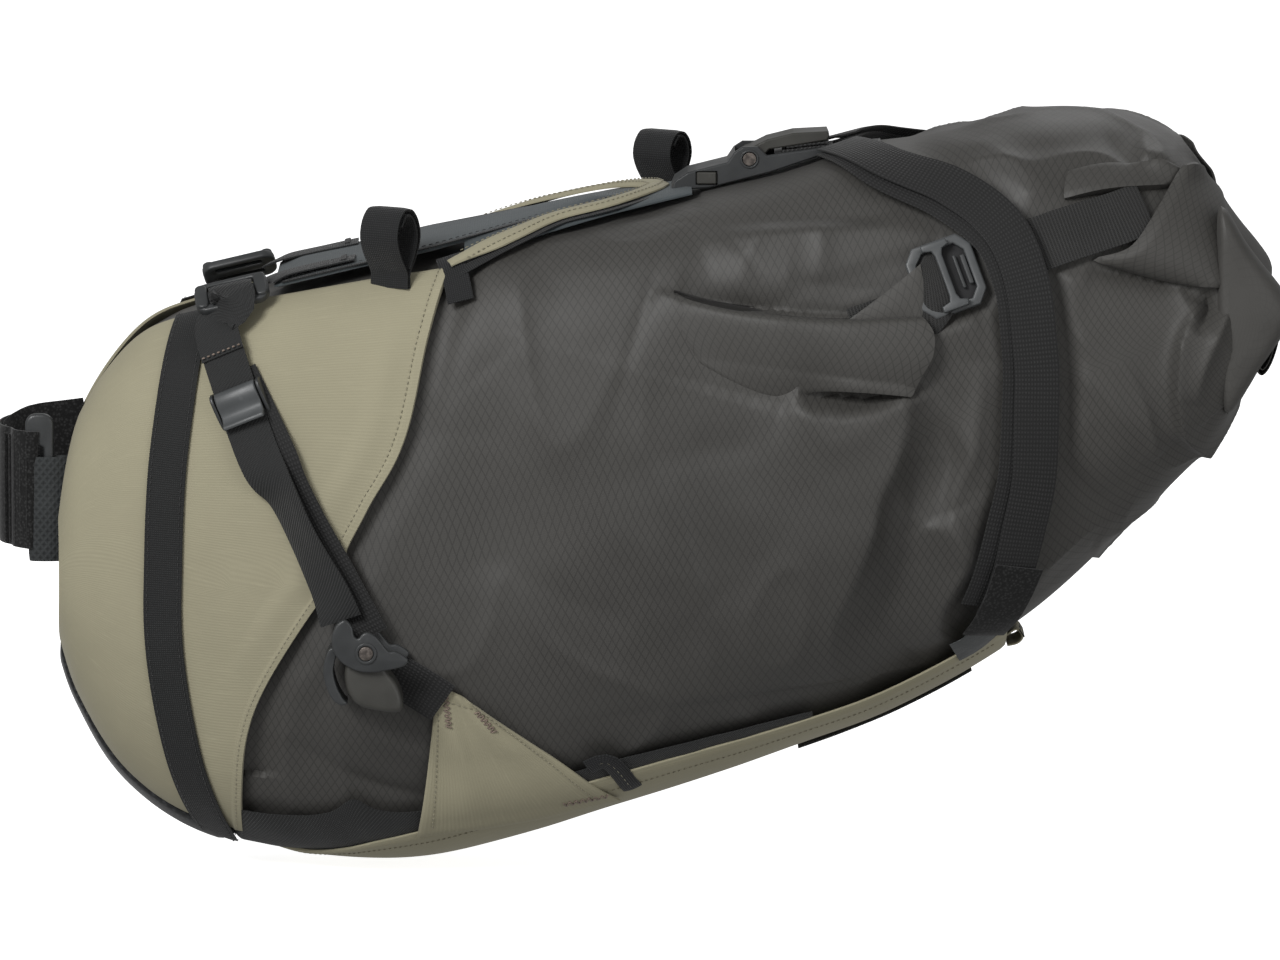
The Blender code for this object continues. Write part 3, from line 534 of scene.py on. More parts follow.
# ---------------------------------------------------------------- materials


class Tree:
    """Builds one node material; methods return output sockets."""

    def __init__(self, name, roughness, metallic=0.0, sheen=0.0, specular=0.5, coat=0.0):
        self.material = bpy.data.materials.new(name)
        self.material.use_nodes = True
        self.nodes = self.material.node_tree.nodes
        self.links = self.material.node_tree.links
        self.shader = self.nodes["Principled BSDF"]
        self.shader.inputs["Roughness"].default_value = roughness
        self.shader.inputs["Metallic"].default_value = metallic
        self.shader.inputs["Sheen Weight"].default_value = sheen
        self.shader.inputs["Sheen Roughness"].default_value = 0.4
        self.shader.inputs["Specular IOR Level"].default_value = specular
        self.shader.inputs["Coat Weight"].default_value = coat
        self.height = None

    def add(self, kind, inputs=(), out=0, **settings):
        made = self.nodes.new("ShaderNode" + kind)
        for key, value in settings.items():
            setattr(made, key, value)
        for key, value in dict(inputs).items():
            if isinstance(value, bpy.types.NodeSocket):
                self.links.new(value, made.inputs[key])
            else:
                made.inputs[key].default_value = value
        return made.outputs[out]

    def maths(self, operation, a, b=0.0):
        return self.add("Math", {0: a, 1: b}, operation=operation)

    def cloth(self):
        """Cloth coordinates in millimetres: along, across."""
        return self.add("UVMap", uv_map="cloth")

    def place(self):
        """The piece's own coordinates, in metres."""
        return self.add("TexCoord", out="Object")

    def turned(self, vector, angle, scale=(1, 1, 1)):
        inputs = {"Vector": vector, "Rotation": (0, 0, math.radians(angle)), "Scale": scale}
        return self.add("Mapping", inputs)

    def noise(self, vector, scale, detail=3.0, roughness=0.55, distortion=0.0):
        inputs = {
            "Vector": vector,
            "Scale": scale,
            "Detail": detail,
            "Roughness": roughness,
            "Distortion": distortion,
        }
        return self.add("TexNoise", inputs)

    def remap(self, value, low, high, to_low=0.0, to_high=1.0):
        inputs = {0: value, 1: low, 2: high, 3: to_low, 4: to_high}
        return self.add("MapRange", inputs, interpolation_type="SMOOTHSTEP")

    def clouds(self, base, scale, detail, darker, lighter):
        """The base colour in soft darker and lighter clouds, and the noise behind them."""
        noise = self.noise(self.place(), scale, detail)
        colour = self.mix(self.remap(noise, 0.3, 0.7), shade(base, darker), shade(base, lighter))
        return colour, noise

    def wave(self, vector, pitch, angle=0.0):
        """A sine in 0 to 1 whose crests are pitch apart, across the given angle."""
        split = self.nodes.new("ShaderNodeSeparateXYZ")
        self.links.new(self.turned(vector, angle), split.inputs[0])
        swing = self.maths("SINE", self.maths("MULTIPLY", split.outputs[0], 2 * math.pi / pitch))
        return self.add("Math", {0: swing, 1: 0.5, 2: 0.5}, operation="MULTIPLY_ADD")

    def mix(self, factor, a, b):
        """Colours a to b; either may be an (r, g, b) or a socket."""
        made = self.nodes.new("ShaderNodeMix")
        made.data_type = "RGBA"
        for index, value in ((0, factor), (6, a), (7, b)):
            if isinstance(value, bpy.types.NodeSocket):
                self.links.new(value, made.inputs[index])
            elif index:
                made.inputs[index].default_value = (*value, 1)
            else:
                made.inputs[index].default_value = value
        return made.outputs[2]

    def bump(self, height, distance_mm, strength=1.0):
        inputs = {"Height": height, "Distance": distance_mm * MM, "Strength": strength}
        if self.height is not None:
            inputs["Normal"] = self.height
        self.height = self.add("Bump", inputs)
        self.links.new(self.height, self.shader.inputs["Normal"])

    def rounded(self, radius_mm):
        """Softens sharp edges in shading."""
        self.height = self.add("Bevel", {"Radius": radius_mm * MM}, samples=4)
        self.links.new(self.height, self.shader.inputs["Normal"])

    def colour(self, socket):
        self.links.new(socket, self.shader.inputs["Base Color"])
        return self.material

    def roughness(self, socket):
        self.links.new(socket, self.shader.inputs["Roughness"])


def shade(colour, factor):
    """A lighter or darker version of a colour."""
    return tuple(min(1.0, c * factor) for c in colour)


def khaki_look():
    """Fine woven nylon: horizontal ribs, thread slubs and slight fading."""
    tree = Tree("khaki", 0.82, sheen=0.12, specular=0.25)
    cloth = tree.cloth()
    base = (0.318, 0.295, 0.205)
    rib = tree.wave(cloth, 1.15, 90)
    fine = tree.wave(cloth, 0.75, 0)
    slub = tree.noise(tree.turned(cloth, 0, (0.05, 0.9, 1)), 1.0, 4)
    colour, _ = tree.clouds(base, 9, 4, 0.93, 1.07)
    colour = tree.mix(tree.maths("MULTIPLY", rib, 0.15), colour, shade(base, 0.66))
    colour = tree.mix(tree.remap(slub, 0.55, 0.75, 0, 0.35), colour, shade(base, 1.25))
    tree.bump(tree.noise(tree.place(), 70, 3), 0.5, 0.35)
    tree.bump(rib, 0.1, 0.5)
    tree.bump(fine, 0.06, 0.35)
    return tree.colour(colour)


def ripstop_look(name, base, long_pitch, lines=0.45):
    """Coated nylon with a ripstop grid of darker threads, drawn out into diamonds."""
    tree = Tree(name, 0.52, sheen=0.05, specular=0.38)
    cloth = tree.cloth()
    warp = tree.noise(cloth, 0.012, 2)
    grid = None
    for angle in (33, -33):
        line = tree.remap(tree.wave(cloth, long_pitch, angle), 0.90, 0.985)
        grid = line if grid is None else tree.maths("MAXIMUM", grid, line)
    weave = tree.maths("MULTIPLY", tree.wave(cloth, 0.62, 90), tree.wave(cloth, 0.62, 0))
    colour, fade = tree.clouds(base, 6, 5, 0.88, 1.1)
    colour = tree.mix(tree.maths("MULTIPLY", weave, 0.18), colour, shade(base, 1.7))
    share = tree.remap(tree.remap(warp, 0.35, 0.65), 0, 1, lines * 0.75, lines)
    strength = tree.maths("MULTIPLY", grid, share)
    colour = tree.mix(strength, colour, shade(base, 0.3))
    tree.roughness(tree.remap(fade, 0.3, 0.7, 0.46, 0.6))
    tree.bump(tree.noise(tree.place(), 45, 3, 0.5, 0.4), 1.2, 0.25)
    tree.bump(grid, 0.12, -0.5)
    tree.bump(weave, 0.05, 0.3)
    return tree.colour(colour)


# How two waves join into a weave, and each wave's pitch in millimetres and its angle.
WEAVES = {
    "twill": ("MULTIPLY", (1.3, 38), (0.7, -52)),
    "basket": ("MULTIPLY", (2.0, 0), (1.4, 90)),
    "ribbed": ("MAXIMUM", (1.5, 0), (0.8, 90)),
    "plain": ("MULTIPLY", (1.0, 0), (1.0, 90)),
}


def webbing_look(name, base, kind, roughness=0.68):
    """Nylon webbing in one of the weaves, with its fuzz."""
    tree = Tree(name, roughness, sheen=0.15, specular=0.35)
    cloth = tree.cloth()
    join_waves, first, second = WEAVES[kind]
    weave = tree.maths(join_waves, tree.wave(cloth, *first), tree.wave(cloth, *second))
    fuzz = tree.noise(cloth, 1.6, 3)
    colour, _ = tree.clouds(base, 25, 3, 0.85, 1.15)
    colour = tree.mix(weave, shade(base, 0.35), colour)
    colour = tree.mix(tree.remap(fuzz, 0.6, 0.8, 0, 0.4), colour, shade(base, 1.9))
    tree.bump(weave, 0.3, 0.8)
    tree.bump(fuzz, 0.12, 0.5)
    return tree.colour(colour)


def fuzzy_look(name, base, scale, depth_mm, roughness=0.95):
    """Hooks, loops or foam: a matted surface of small lumps."""
    tree = Tree(name, roughness, sheen=0.3, specular=0.15)
    lumps = tree.add("TexVoronoi", {"Vector": tree.place(), "Scale": scale})
    fuzz = tree.noise(tree.place(), scale * 1.7, 3)
    colour = tree.mix(tree.remap(lumps, 0.1, 0.6), shade(base, 1.7), shade(base, 0.55))
    colour = tree.mix(tree.remap(fuzz, 0.5, 0.8, 0, 0.35), colour, shade(base, 2.2))
    tree.bump(lumps, depth_mm, -0.8)
    tree.bump(fuzz, depth_mm * 0.5, 0.5)
    return tree.colour(colour)


def knit_look():
    """Rubbery knit with rows of small chevrons."""
    tree = Tree("knit", 0.75, sheen=0.1, specular=0.3)
    cloth = tree.cloth()
    rows = tree.maths("MAXIMUM", tree.wave(cloth, 2.6, 40), tree.wave(cloth, 2.6, -40))
    base = (0.030, 0.033, 0.034)
    fade = tree.noise(tree.place(), 30, 3)
    colour = tree.mix(rows, shade(base, 0.45), base)
    colour = tree.mix(tree.remap(fade, 0.4, 0.7, 0, 0.4), colour, shade(base, 1.5))
    tree.bump(rows, 0.4, 0.8)
    return tree.colour(colour)


def plastic_look(name, base, roughness):
    """Moulded acetal: a fine spark-eroded grain, edges rounded and slightly polished."""
    tree = Tree(name, roughness, specular=0.45)
    place = tree.place()
    grain = tree.noise(place, 1700, 2)
    scuff = tree.noise(tree.turned(place, 25, (1, 6, 1)), 150, 4, 0.6)
    colour, cloud = tree.clouds(base, 60, 4, 0.88, 1.12)
    colour = tree.mix(tree.remap(scuff, 0.62, 0.72, 0, 0.3), colour, shade(base, 1.755))
    tree.roughness(tree.remap(cloud, 0.3, 0.7, roughness - 0.06, roughness + 0.08))
    tree.rounded(0.5)
    tree.bump(grain, 0.05, 0.35)
    return tree.colour(colour)


def bronze_look():
    """A blackened pin, worn to a dull bronze on its head."""
    tree = Tree("bronze", 0.42, metallic=0.85)
    place = tree.place()
    wear = tree.noise(place, 400, 4)
    colour = tree.mix(tree.remap(wear, 0.35, 0.7), (0.10, 0.088, 0.08), (0.22, 0.19, 0.17))
    tree.roughness(tree.remap(wear, 0.3, 0.7, 0.36, 0.52))
    tree.rounded(0.3)
    tree.bump(wear, 0.04, 0.4)
    return tree.colour(colour)


def slate_look():
    """The top panel's coated cloth: a soft canvas grain."""
    tree = Tree("slate", 0.7, sheen=0.12, specular=0.3)
    cloth = tree.cloth()
    base = (0.062, 0.074, 0.079)
    weave = tree.maths("MULTIPLY", tree.wave(cloth, 1.1, 0), tree.wave(cloth, 1.1, 90))
    colour, _ = tree.clouds(base, 14, 4, 0.85, 1.15)
    colour = tree.mix(tree.maths("MULTIPLY", weave, 0.4), colour, shade(base, 0.55))
    tree.bump(tree.noise(tree.place(), 60, 3), 0.8, 0.4)
    tree.bump(weave, 0.15, 0.5)
    return tree.colour(colour)


def thread_look(name, base):
    """Twisted sewing thread."""
    tree = Tree(name, 0.7, sheen=0.2)
    twist = tree.noise(tree.place(), 1500, 2)
    tree.bump(twist, 0.1, 0.5)
    return tree.colour(tree.mix(tree.remap(twist, 0.35, 0.65), shade(base, 0.7), shade(base, 1.2)))


def film_look():
    """Clear-coated inner lining that shows glossy at the strap."""
    tree = Tree("film", 0.25, specular=0.6)
    crumple = tree.noise(tree.place(), 120, 3)
    tree.bump(crumple, 0.8, 0.5)
    return tree.colour(tree.mix(crumple, (0.018, 0.021, 0.022), (0.05, 0.055, 0.056)))


def make_looks():
    return {
        "khaki": khaki_look(),
        "slate": slate_look(),
        "ripstop": ripstop_look("ripstop", (0.053, 0.051, 0.047), 3.3),
        "ripstop_fold": ripstop_look("ripstop_fold", (0.056, 0.054, 0.050), 3.6, 0.15),
        # A much darker copy of the ripstop: painted shade for the pleats' mouths.
        "ripstop_shade": ripstop_look("ripstop_shade", (0.015, 0.014, 0.013), 3.6, 0.15),
        "side_webbing": webbing_look("side_webbing", (0.031, 0.032, 0.032), "twill"),
        "rear_webbing": webbing_look("rear_webbing", (0.026, 0.026, 0.026), "basket", 0.75),
        "roll_webbing": webbing_look("roll_webbing", (0.027, 0.027, 0.026), "ribbed"),
        "band": webbing_look("band", (0.021, 0.022, 0.022), "plain"),
        "velvet": webbing_look("velvet", (0.028, 0.029, 0.030), "plain", 0.85),
        "hooks": fuzzy_look("hooks", (0.018, 0.018, 0.018), 700, 0.4),
        "knit": knit_look(),
        "pad": fuzzy_look("pad", (0.040, 0.042, 0.044), 500, 0.3, 0.85),
        "abrasion": fuzzy_look("abrasion", (0.022, 0.023, 0.024), 420, 0.35, 0.8),
        "plastic": plastic_look("plastic", (0.034, 0.036, 0.037), 0.40),
        "lever": plastic_look("lever_plastic", (0.042, 0.041, 0.036), 0.46),
        # Black plastic painted far darker than the rest: partly its own colour, partly painted shade
        # inside the hook buckle's window.
        "recess": plastic_look("recess_plastic", (0.010, 0.010, 0.011), 0.6),
        "hook": plastic_look("hook_plastic", (0.066, 0.070, 0.072), 0.42),
        "bronze": bronze_look(),
        "khaki_thread": thread_look("khaki_thread", (0.26, 0.24, 0.17)),
        "brown_thread": thread_look("brown_thread", (0.20, 0.15, 0.12)),
        "black_thread": thread_look("black_thread", (0.03, 0.03, 0.03)),
        "film": film_look(),
    }


LOOKS = make_looks()

# A finish for every CAD node, so that none keeps the packer's own.
CAD_LOOKS = {
    "khaki": "khaki",
    "slate": "slate",
    "ripstop": "ripstop",
    "webbing": "band",
    "abrasion": "abrasion",
    "plastic": "plastic",
    "lever_plastic": "lever",
    "steel": "bronze",
    "rubber": "pad",
}


def finish_cad_nodes():
    """Gives every CAD node the look of its slot."""
    for node in frame["nodes"].values():
        for part in node.material_slots:
            slot = part.material.name.split(".")[0]
            part.material = LOOKS[CAD_LOOKS[slot]]


finish_cad_nodes()


# ---------------------------------------------------------------- dry bag

# Folds in the bag's near side, as seen from 8 degrees above: the line, its height, and how far it
# spreads to the left and to the right of its direction of travel.
PLEAT_LIP = ((279, 95), (296, 89), (315, 84), (337, 81.5), (366, 80), (399, 81), (425, 84))
MAIN_FOLDS = (
    (PLEAT_LIP, 8, 1.6, 26),
    (((290, 93), (315, 89.5), (337, 86), (366, 84.5), (392, 85.5)), -9, 9, 2.0),
    (((394, 52), (393, 44), (391.5, 31), (387, 17), (380, 2), (376, -15), (366, -40), (360, -54),
      (359, -68), (361, -84)), 12.5, 6.0, 46),
    (((401, 46), (408, 30), (411, 16), (409, 2), (413, -7)), -4, 9, 9),
    (((427, 62), (424, 38), (422, 21), (416, 7), (413, -7), (421, -26)), 6, 8, 7),
    (((408, -8), (418, -30), (410, -52), (395, -70)), 6, 12, 10),
    (((398, 20), (396, -10), (388, -40), (378, -66)), -4.5, 10, 10),
    (((283, 117), (275, 90), (268, 65), (257, 23)), -0.9, 1.6, 1.6),
    (((254, 117), (288, 127), (300, 125), (316, 116), (326, 102), (331, 87)), -0.9, 1.6, 1.6),
    (((381, -1), (384, -23), (384, -54)), -0.8, 1.4, 1.4),
    (((240, -8), (254, 2), (296, 21), (330, 26)), -2.5, 22, 12),
    (((205, 60), (230, 30), (262, -10), (300, -50)), 2.5, 30, 26),
    (((190, -20), (225, -38), (270, -58)), -2, 12, 16),
    (((300, 118), (330, 126), (372, 124), (404, 118)), 5, 14, 16),
    (((340, 100), (372, 96), (398, 100)), -4, 8, 10),
    (((130, -92), (160, -112), (200, -122)), 3, 6, 9),
    (((112, -110), (150, -132), (190, -140)), -3, 7, 8),
    (((470, 180), (480, 178), (486, 164), (494, 150)), -3.5, 12, 4),
    (((504, 177), (500, 165), (500, 153), (514, 145), (530, 150)), 7, 16, 2.5),
    (((474, 107), (492, 103), (510, 99), (528, 95)), -8, 3, 9),
    (((527, 96), (529, 87), (523, 76)), -9, 4, 4),
    (((524, 90), (520, 82), (515.5, 72), (513.5, 58), (514, 41), (518, 30), (534, 20)), 10, 14, 2.2),
    (((543, 98), (532, 75), (525, 58), (522, 46)), 6, 4, 6),
    (((550, 92), (545, 70), (536, 44)), -3, 4, 5),
    (((400, 166), (428, 161), (458, 140)), 2.2, 8, 6),
    (((414, 153), (443, 138), (458, 128)), -2, 5, 6),
    (((460, 20), (480, 0), (492, -6)), -5, 10, 10),
    (((462, 60), (480, 50), (505, 20)), 5, 14, 12),
)
POCKET_FOLDS = (
    (((338, 45), (346, 42.5), (352, 40.6), (365, 39.5), (380, 41.6), (396, 47), (402, 52)), 6, 2, 14),
    (((345, 47), (358, 47), (373, 46), (390, 48)), -9, 7, 3),
    (((333, 80), (338, 66), (345, 52)), -3, 6, 8),
)
# Where straps, buckles and webbing lie, the cloth is held down: a line and its half width.
HELD_DOWN = (
    (((350, 90), (406, 109), (452, 128), (498, 141)), 17),
    (
        ((376, 158), (414, 147), (436, 133), (448, 112), (454, 72), (453, 26), (438, -22), (426, -44)),
        15,
    ),
    (((260, 140), (300, 152), (376, 158)), 24),
)


def line_distance(x, z, line):
    """Distance to a line in the side view, the side of it, and the share of its length."""
    line = np.asarray(line, float)
    lengths = np.linalg.norm(np.diff(line, axis=0), axis=1)
    best = np.full(x.shape, 1e9)
    side, share = np.zeros(x.shape), np.zeros(x.shape)
    run = 0.0
    for (ax, az), (bx, bz), length in zip(line[:-1], line[1:], lengths):
        dx, dz = (bx - ax) / length, (bz - az) / length
        along = np.clip((x - ax) * dx + (z - az) * dz, 0, length)
        off_x, off_z = x - ax - along * dx, z - az - along * dz
        distance = np.hypot(off_x, off_z)
        nearer = distance < best
        best = np.where(nearer, distance, best)
        side = np.where(nearer, dx * off_z - dz * off_x, side)
        share = np.where(nearer, (run + along) / lengths.sum(), share)
        run += length
    return best, side, share


def fold_height(x, z, folds):
    """Height of all the folds at side-view places; each fades at its ends."""
    height = np.zeros(x.shape)
    for line, rise, left, right in folds:
        distance, side, share = line_distance(x, z, spline(line, 6 * len(line)))
        spread = np.where(side > 0, left, right)
        fade = np.sin(math.pi * np.clip(share, 0, 1)) ** 0.6
        crest = np.sqrt((distance / spread) ** 2 + 0.02) - math.sqrt(0.02)
        height += rise * fade * np.exp(-crest)
    return height


def held_down(x, z):
    """1 where the cloth is free, falling to 0 under straps and buckles."""
    free = np.ones(x.shape)
    for line, half in HELD_DOWN:
        distance, _, _ = line_distance(x, z, line)
        free = np.minimum(free, smoothstep((distance - half * 0.75) / 9))
    return free


def side_view(points):
    """(x, z) of skin points as seen from 8 degrees above their own side."""
    return points[..., 0], points[..., 2] - VIEW_TILT * np.abs(points[..., 1])


def cloth_height(points, folds):
    """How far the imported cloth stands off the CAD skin."""
    x, z = side_view(points)
    across = np.abs(points[..., 1])
    on_side = smoothstep((across - 20) / 40)
    height = fold_height(x, z, folds) * on_side
    far = points[..., 1] > 0
    soft = wobble(points, 70, 3.1) * 2.6 + wobble(points, 34, 7.7) * 1.1
    ridge = 1 - np.abs(wobble(points * np.array([1.0, 1.0, 0.6]), 42, 12.4)) * 2
    soft = soft + np.maximum(ridge, 0) ** 3 * 1.7 + wobble(points, 12, 5.0) * 0.22
    height = height * np.where(far, 0.85, 1.0) + soft
    free = held_down(points[..., 0], points[..., 2])
    raised = np.maximum(height, 0) * free + np.minimum(height, 0) * (0.5 + 0.5 * free)
    return raised - 0.9 * (1 - free)


BAG_FIRST, BAG_LAST = 1.35, 11.62
TOP_PANEL_REACH = 300
BOTTOM_PANEL_REACH = 480
BOTTOM_PANEL_ANGLE = 139
SEWN_PRESS = 0.8
HEM_GAP = 3.4
# Swells under the saddle and behind it: the place along the bag, the spread and the height.
CROWNS = ((366, 28, 4.5), (318, 26, 2.4))


def settle(base, from_top, height):
    """Presses the cloth in under the wings and panels, and a little just behind the wings' hems."""
    x, z = base[..., 0], base[..., 2]
    hem_x, hem_z = np.array(WING_HEM, float).T
    covered = np.interp(-z, -hem_z, hem_x)
    under_wing = smoothstep((covered - x + 6) / 12)
    underneath = smoothstep((from_top - BOTTOM_PANEL_ANGLE) / 9) * (x < BOTTOM_PANEL_REACH)
    atop = smoothstep((46 - np.abs(base[..., 1])) / 8) * (x < TOP_PANEL_REACH) * (z > 0)
    calm = np.maximum.reduce([under_wing, underneath, atop])
    gap = HEM_GAP * np.exp(-(((x - covered - 5) / 8) ** 2)) * (z > -120)
    raised = np.where(height > 0, height * (1 - calm), height)
    return raised - SEWN_PRESS * calm - gap * (1 - underneath)


def crown_height(base, from_top):
    """How far the top of the bag swells between the top panel and the roll."""
    rise = sum(high * np.exp(-(((base[..., 0] - x) / spread) ** 2)) for x, spread, high in CROWNS)
    return rise * smoothstep((40 - from_top) / 24)


def make_dry_bag():
    """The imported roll-top bag: a lofted shell with its pleats, creases and sags."""
    rows, around = ((330, 420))
    t = np.linspace(BAG_FIRST, BAG_LAST, rows)[:, None]
    phi = np.linspace(0, 360, around + 1)[None, :-1]
    from_top = np.minimum(phi, 360 - phi)
    base = skin_point(t, phi)
    height = settle(base, from_top, cloth_height(base, MAIN_FOLDS + POCKET_FOLDS))
    height = height + crown_height(base, from_top)
    points = base + skin_normal(t, phi) * height[..., None]
    middle = points.mean(1, keepdims=True)
    ends = np.maximum(smoothstep((1.55 - t) / 0.2) * 0.25, smoothstep((t - 11.42) / 0.18) * 0.14)
    points = points + (middle - points) * ends[..., None]
    closed = np.concatenate([points, points[:, :1]], 1)
    uv = grid_lengths(closed)[:, :-1]
    seam = around // 2
    uv[:, seam:, 1] = uv[:, seam:seam + 1, 1] * 2 - uv[:, seam:, 1]
    bag = loft("dry_bag_shell", points, "ripstop", "holster", uv.reshape(-1, 2), replaces=("dry_bag",))
    return bag


def patch(name, low, high, left, right, extra, skirts, thickness=1.6, size=(46, 26),
          material="ripstop", folds=MAIN_FOLDS, **kw):
    """A fold of cloth on the side of the bag, from its four edges, and its far copy.

    extra(u, v) is its rise off the cloth under it, and skirts names the edges that turn in to the
    bag: 0 low, 1 high, 2 left, 3 right.
    """
    side = coons(low, high, left, right, *size)
    t, phi = seen(side[..., 0], side[..., 1])
    base, normal = skin_point(t, phi), skin_normal(t, phi)
    x, z = side_view(base)
    under = fold_height(x, z, folds) * smoothstep((np.abs(base[..., 1]) - 20) / 40)
    u = np.linspace(0, 1, size[0])[:, None]
    v = np.linspace(0, 1, size[1])[None, :]
    lift = under + extra(u, v) + wobble(base, 24, 2.2) * 0.35
    points = base + normal * lift[..., None]
    down = base + normal * (under - 3)[..., None]
    if 0 in skirts:
        points = np.concatenate([down[:, :1] * 0.97 + down[:, 1:2] * 0.03, points], 1)
        down = np.concatenate([down[:, :1], down], 1)
    if 1 in skirts:
        points = np.concatenate([points, down[:, -1:]], 1)
        down = np.concatenate([down, down[:, -1:]], 1)
    if 2 in skirts:
        points = np.concatenate([down[:1], points], 0)
        down = np.concatenate([down[:1], down], 0)
    if 3 in skirts:
        points = np.concatenate([points, down[-1:]], 0)
    return shell(name, points, thickness, material, "holster", **kw)


def make_pleats():
    """The ear of cloth that the anchor webbing pulls rearwards on each side of the bag."""

    def rise(u, v):
        opening = smoothstep((u - 0.08) / 0.4)
        lip = -1.2 + opening * (2.6 + 3.5 * u)
        hang = -1.5 + 6.5 * smoothstep((u - 0.5) / 0.3)
        belly = 3.2 * opening * np.sin(math.pi * v)
        return lip * (1 - v) + hang * v + belly

    patch(
        "dry_bag_pleat_near",
        ((284, 94), (296, 89.5), (315, 84.6), (337, 82), (366, 80.6), (384, 81.4), (399.5, 82)),
        ((300, 62), (322, 50), (338, 46), (352, 49.5), (373, 49.5), (394, 47.8)),
        ((284, 94), (290, 78), (300, 62)),
        ((399.5, 82), (404, 75.5), (403.5, 66), (398.5, 57), (394, 47.8)),
        rise,
        (0, 3),
    )


def make_painted_mouth_shades():
    """A dark patch of painted shade for the inside of each pleat, above its lip."""

    def rise(u, v):
        return 1.0 - 2.4 * v + 0 * u

    # Coloured with painted shade, far darker than the bag's own ripstop.
    patch(
        "dry_bag_mouth_near",
        ((288, 95), (312, 90.5), (337, 88), (360, 88.5), (381, 92)),
        ((288, 93.6), (312, 84.5), (337, 81), (360, 79.5), (383, 81)),
        ((288, 95), (288, 94.4), (288, 93.6)),
        ((381, 92), (382, 87), (383, 81)),
        rise,
        (),
        0.8,
        (40, 10),
        material="ripstop_shade",
    )


def make_gusset():
    """The triangular inner layer between the ear and the anchor webbing."""

    def rise(u, v):
        return 4.9 + 1.2 * np.sin(math.pi * u) * np.sin(math.pi * v) - 1.6 * v * (1 - u)

    patch(
        "dry_bag_gusset_near",
        ((366, 81), (384, 94), (399, 106)),
        ((372, 76), (390, 78), (399, 79)),
        ((366, 81), (368, 78), (372, 76)),
        ((399, 106), (400.5, 93), (399, 79)),
        rise,
        (1,),
        1.2,
        (20, 14),
        folds=(),
    )


def make_roll_ends():
    """Each end of the rolled mouth, folded forward over its webbing."""

    def rise(u, v):
        tuck = 0.75 + 0.25 * smoothstep(u / 0.12)
        fade = 1 - smoothstep((u - 0.55) / 0.4)
        return -1 + (6.2 * fade + 1.4 * np.sin(math.pi * v)) * tuck * (1 - 0.55 * (1 - v) * u)

    patch(
        "roll_end_flap_near",
        ((477, 108.7), (491, 105), (508, 100.6), (528, 97), (543, 97), (556, 95)),
        ((514, 146), (520, 147), (527, 143.5), (534, 137), (540, 129)),
        ((477, 108.7), (492.5, 113), (502.5, 125.5), (514, 146)),
        ((556, 95), (552, 106), (546, 119), (540, 129)),
        rise,
        (0, 2),
        1.8,
        (44, 34),
        replaces=("roll_end_near",),
    )

    def tuck_rise(u, v):
        return 0.8 + 3.6 * np.sin(math.pi * np.clip(u * 0.9 + 0.08, 0, 1)) * (1 - 0.35 * v)

    tuck = patch(
        "roll_end_tuck_near",
        ((464, 137), (478, 139.5), (491, 141), (512, 142.5)),
        ((466.3, 148.6), (480, 151), (491, 151.2), (503, 149), (514, 145.5)),
        ((464, 137), (464.6, 143), (466.3, 148.6)),
        ((512, 142.5), (513, 144), (514, 145.5)),
        tuck_rise,
        (0, 1, 2),
        1.6,
        (30, 12),
    )


ROLL_CENTRE = (555.5, 84.0)
ROLL_LEAN = -12
ROLL_LENGTH = 160


def make_roll():
    """The mouth rolled three times round its stiffener: a flat spiral of cloth across the tail."""
    turns, count = 2.6, 120
    angle = np.linspace(0, 2 * math.pi * turns, count)
    share = angle / angle[-1]
    thin, tall = 2.1 + 3.4 * share, 12 + 7.5 * share
    flat = np.stack([thin * np.cos(angle), tall * np.sin(angle)], -1)
    lean = math.radians(ROLL_LEAN)
    x = ROLL_CENTRE[0] + flat[:, 0] * math.cos(lean) - flat[:, 1] * math.sin(lean)
    z = ROLL_CENTRE[1] + flat[:, 0] * math.sin(lean) + flat[:, 1] * math.cos(lean)
    y = np.linspace(-ROLL_LENGTH / 2, ROLL_LENGTH / 2, 50)
    points = np.stack(np.broadcast_arrays(x[:, None], y[None, :], z[:, None]), -1)
    droop = wobble(points, 40, 9.0)[..., None] * np.array([0.5, 0, 0.9])
    narrowing = 1 - 0.04 * np.abs(points[..., 1:2] / 80) ** 4 * share[:, None, None]
    centre = np.array([ROLL_CENTRE[0], 0, ROLL_CENTRE[1]])
    points = centre + (points - centre) * np.concatenate(
        [narrowing, np.ones_like(narrowing), narrowing], -1) + droop * share[:, None, None]
    roll = shell("roll_top_cloth", points, 0.7, "ripstop_fold", "holster", replaces=("roll_top",))
    declare_sheet(roll)


# ---------------------------------------------------------------- holster: wings, panels and trims

WING_HEM = (
    (188, 112),
    (178, 84),
    (168, 41),
    (150, 6),
    (127, -38),
    (105, -73),
    (95, -99),
    (92, -127),
    (92, -146),
)
WING_LIFT = 2.4
WING_FRONT_TOP = 12
WING_BOTTOM = 165
HEM_WIDTH = 4.8


def wing_place(u, v):
    """Station and angle on a wing: u from the nose to the hem, v from the top to the bottom."""
    x, z = np.array(WING_HEM, float).T
    t_hem, phi_hem = locate(x, z)
    hem = spline(np.stack([t_hem, phi_hem / 25], -1), 200)
    share = np.linspace(0, 1, 200)
    t_edge, phi_edge = np.interp(v, share, hem[:, 0]), np.interp(v, share, hem[:, 1] * 25)
    phi_front = WING_FRONT_TOP + (WING_BOTTOM - WING_FRONT_TOP) * v
    t_front = 0.05 + 0.9 * np.maximum(0.0, 1 - 3 * v)
    return t_front + (t_edge - t_front) * u, phi_front + (phi_edge - phi_front) * u * u


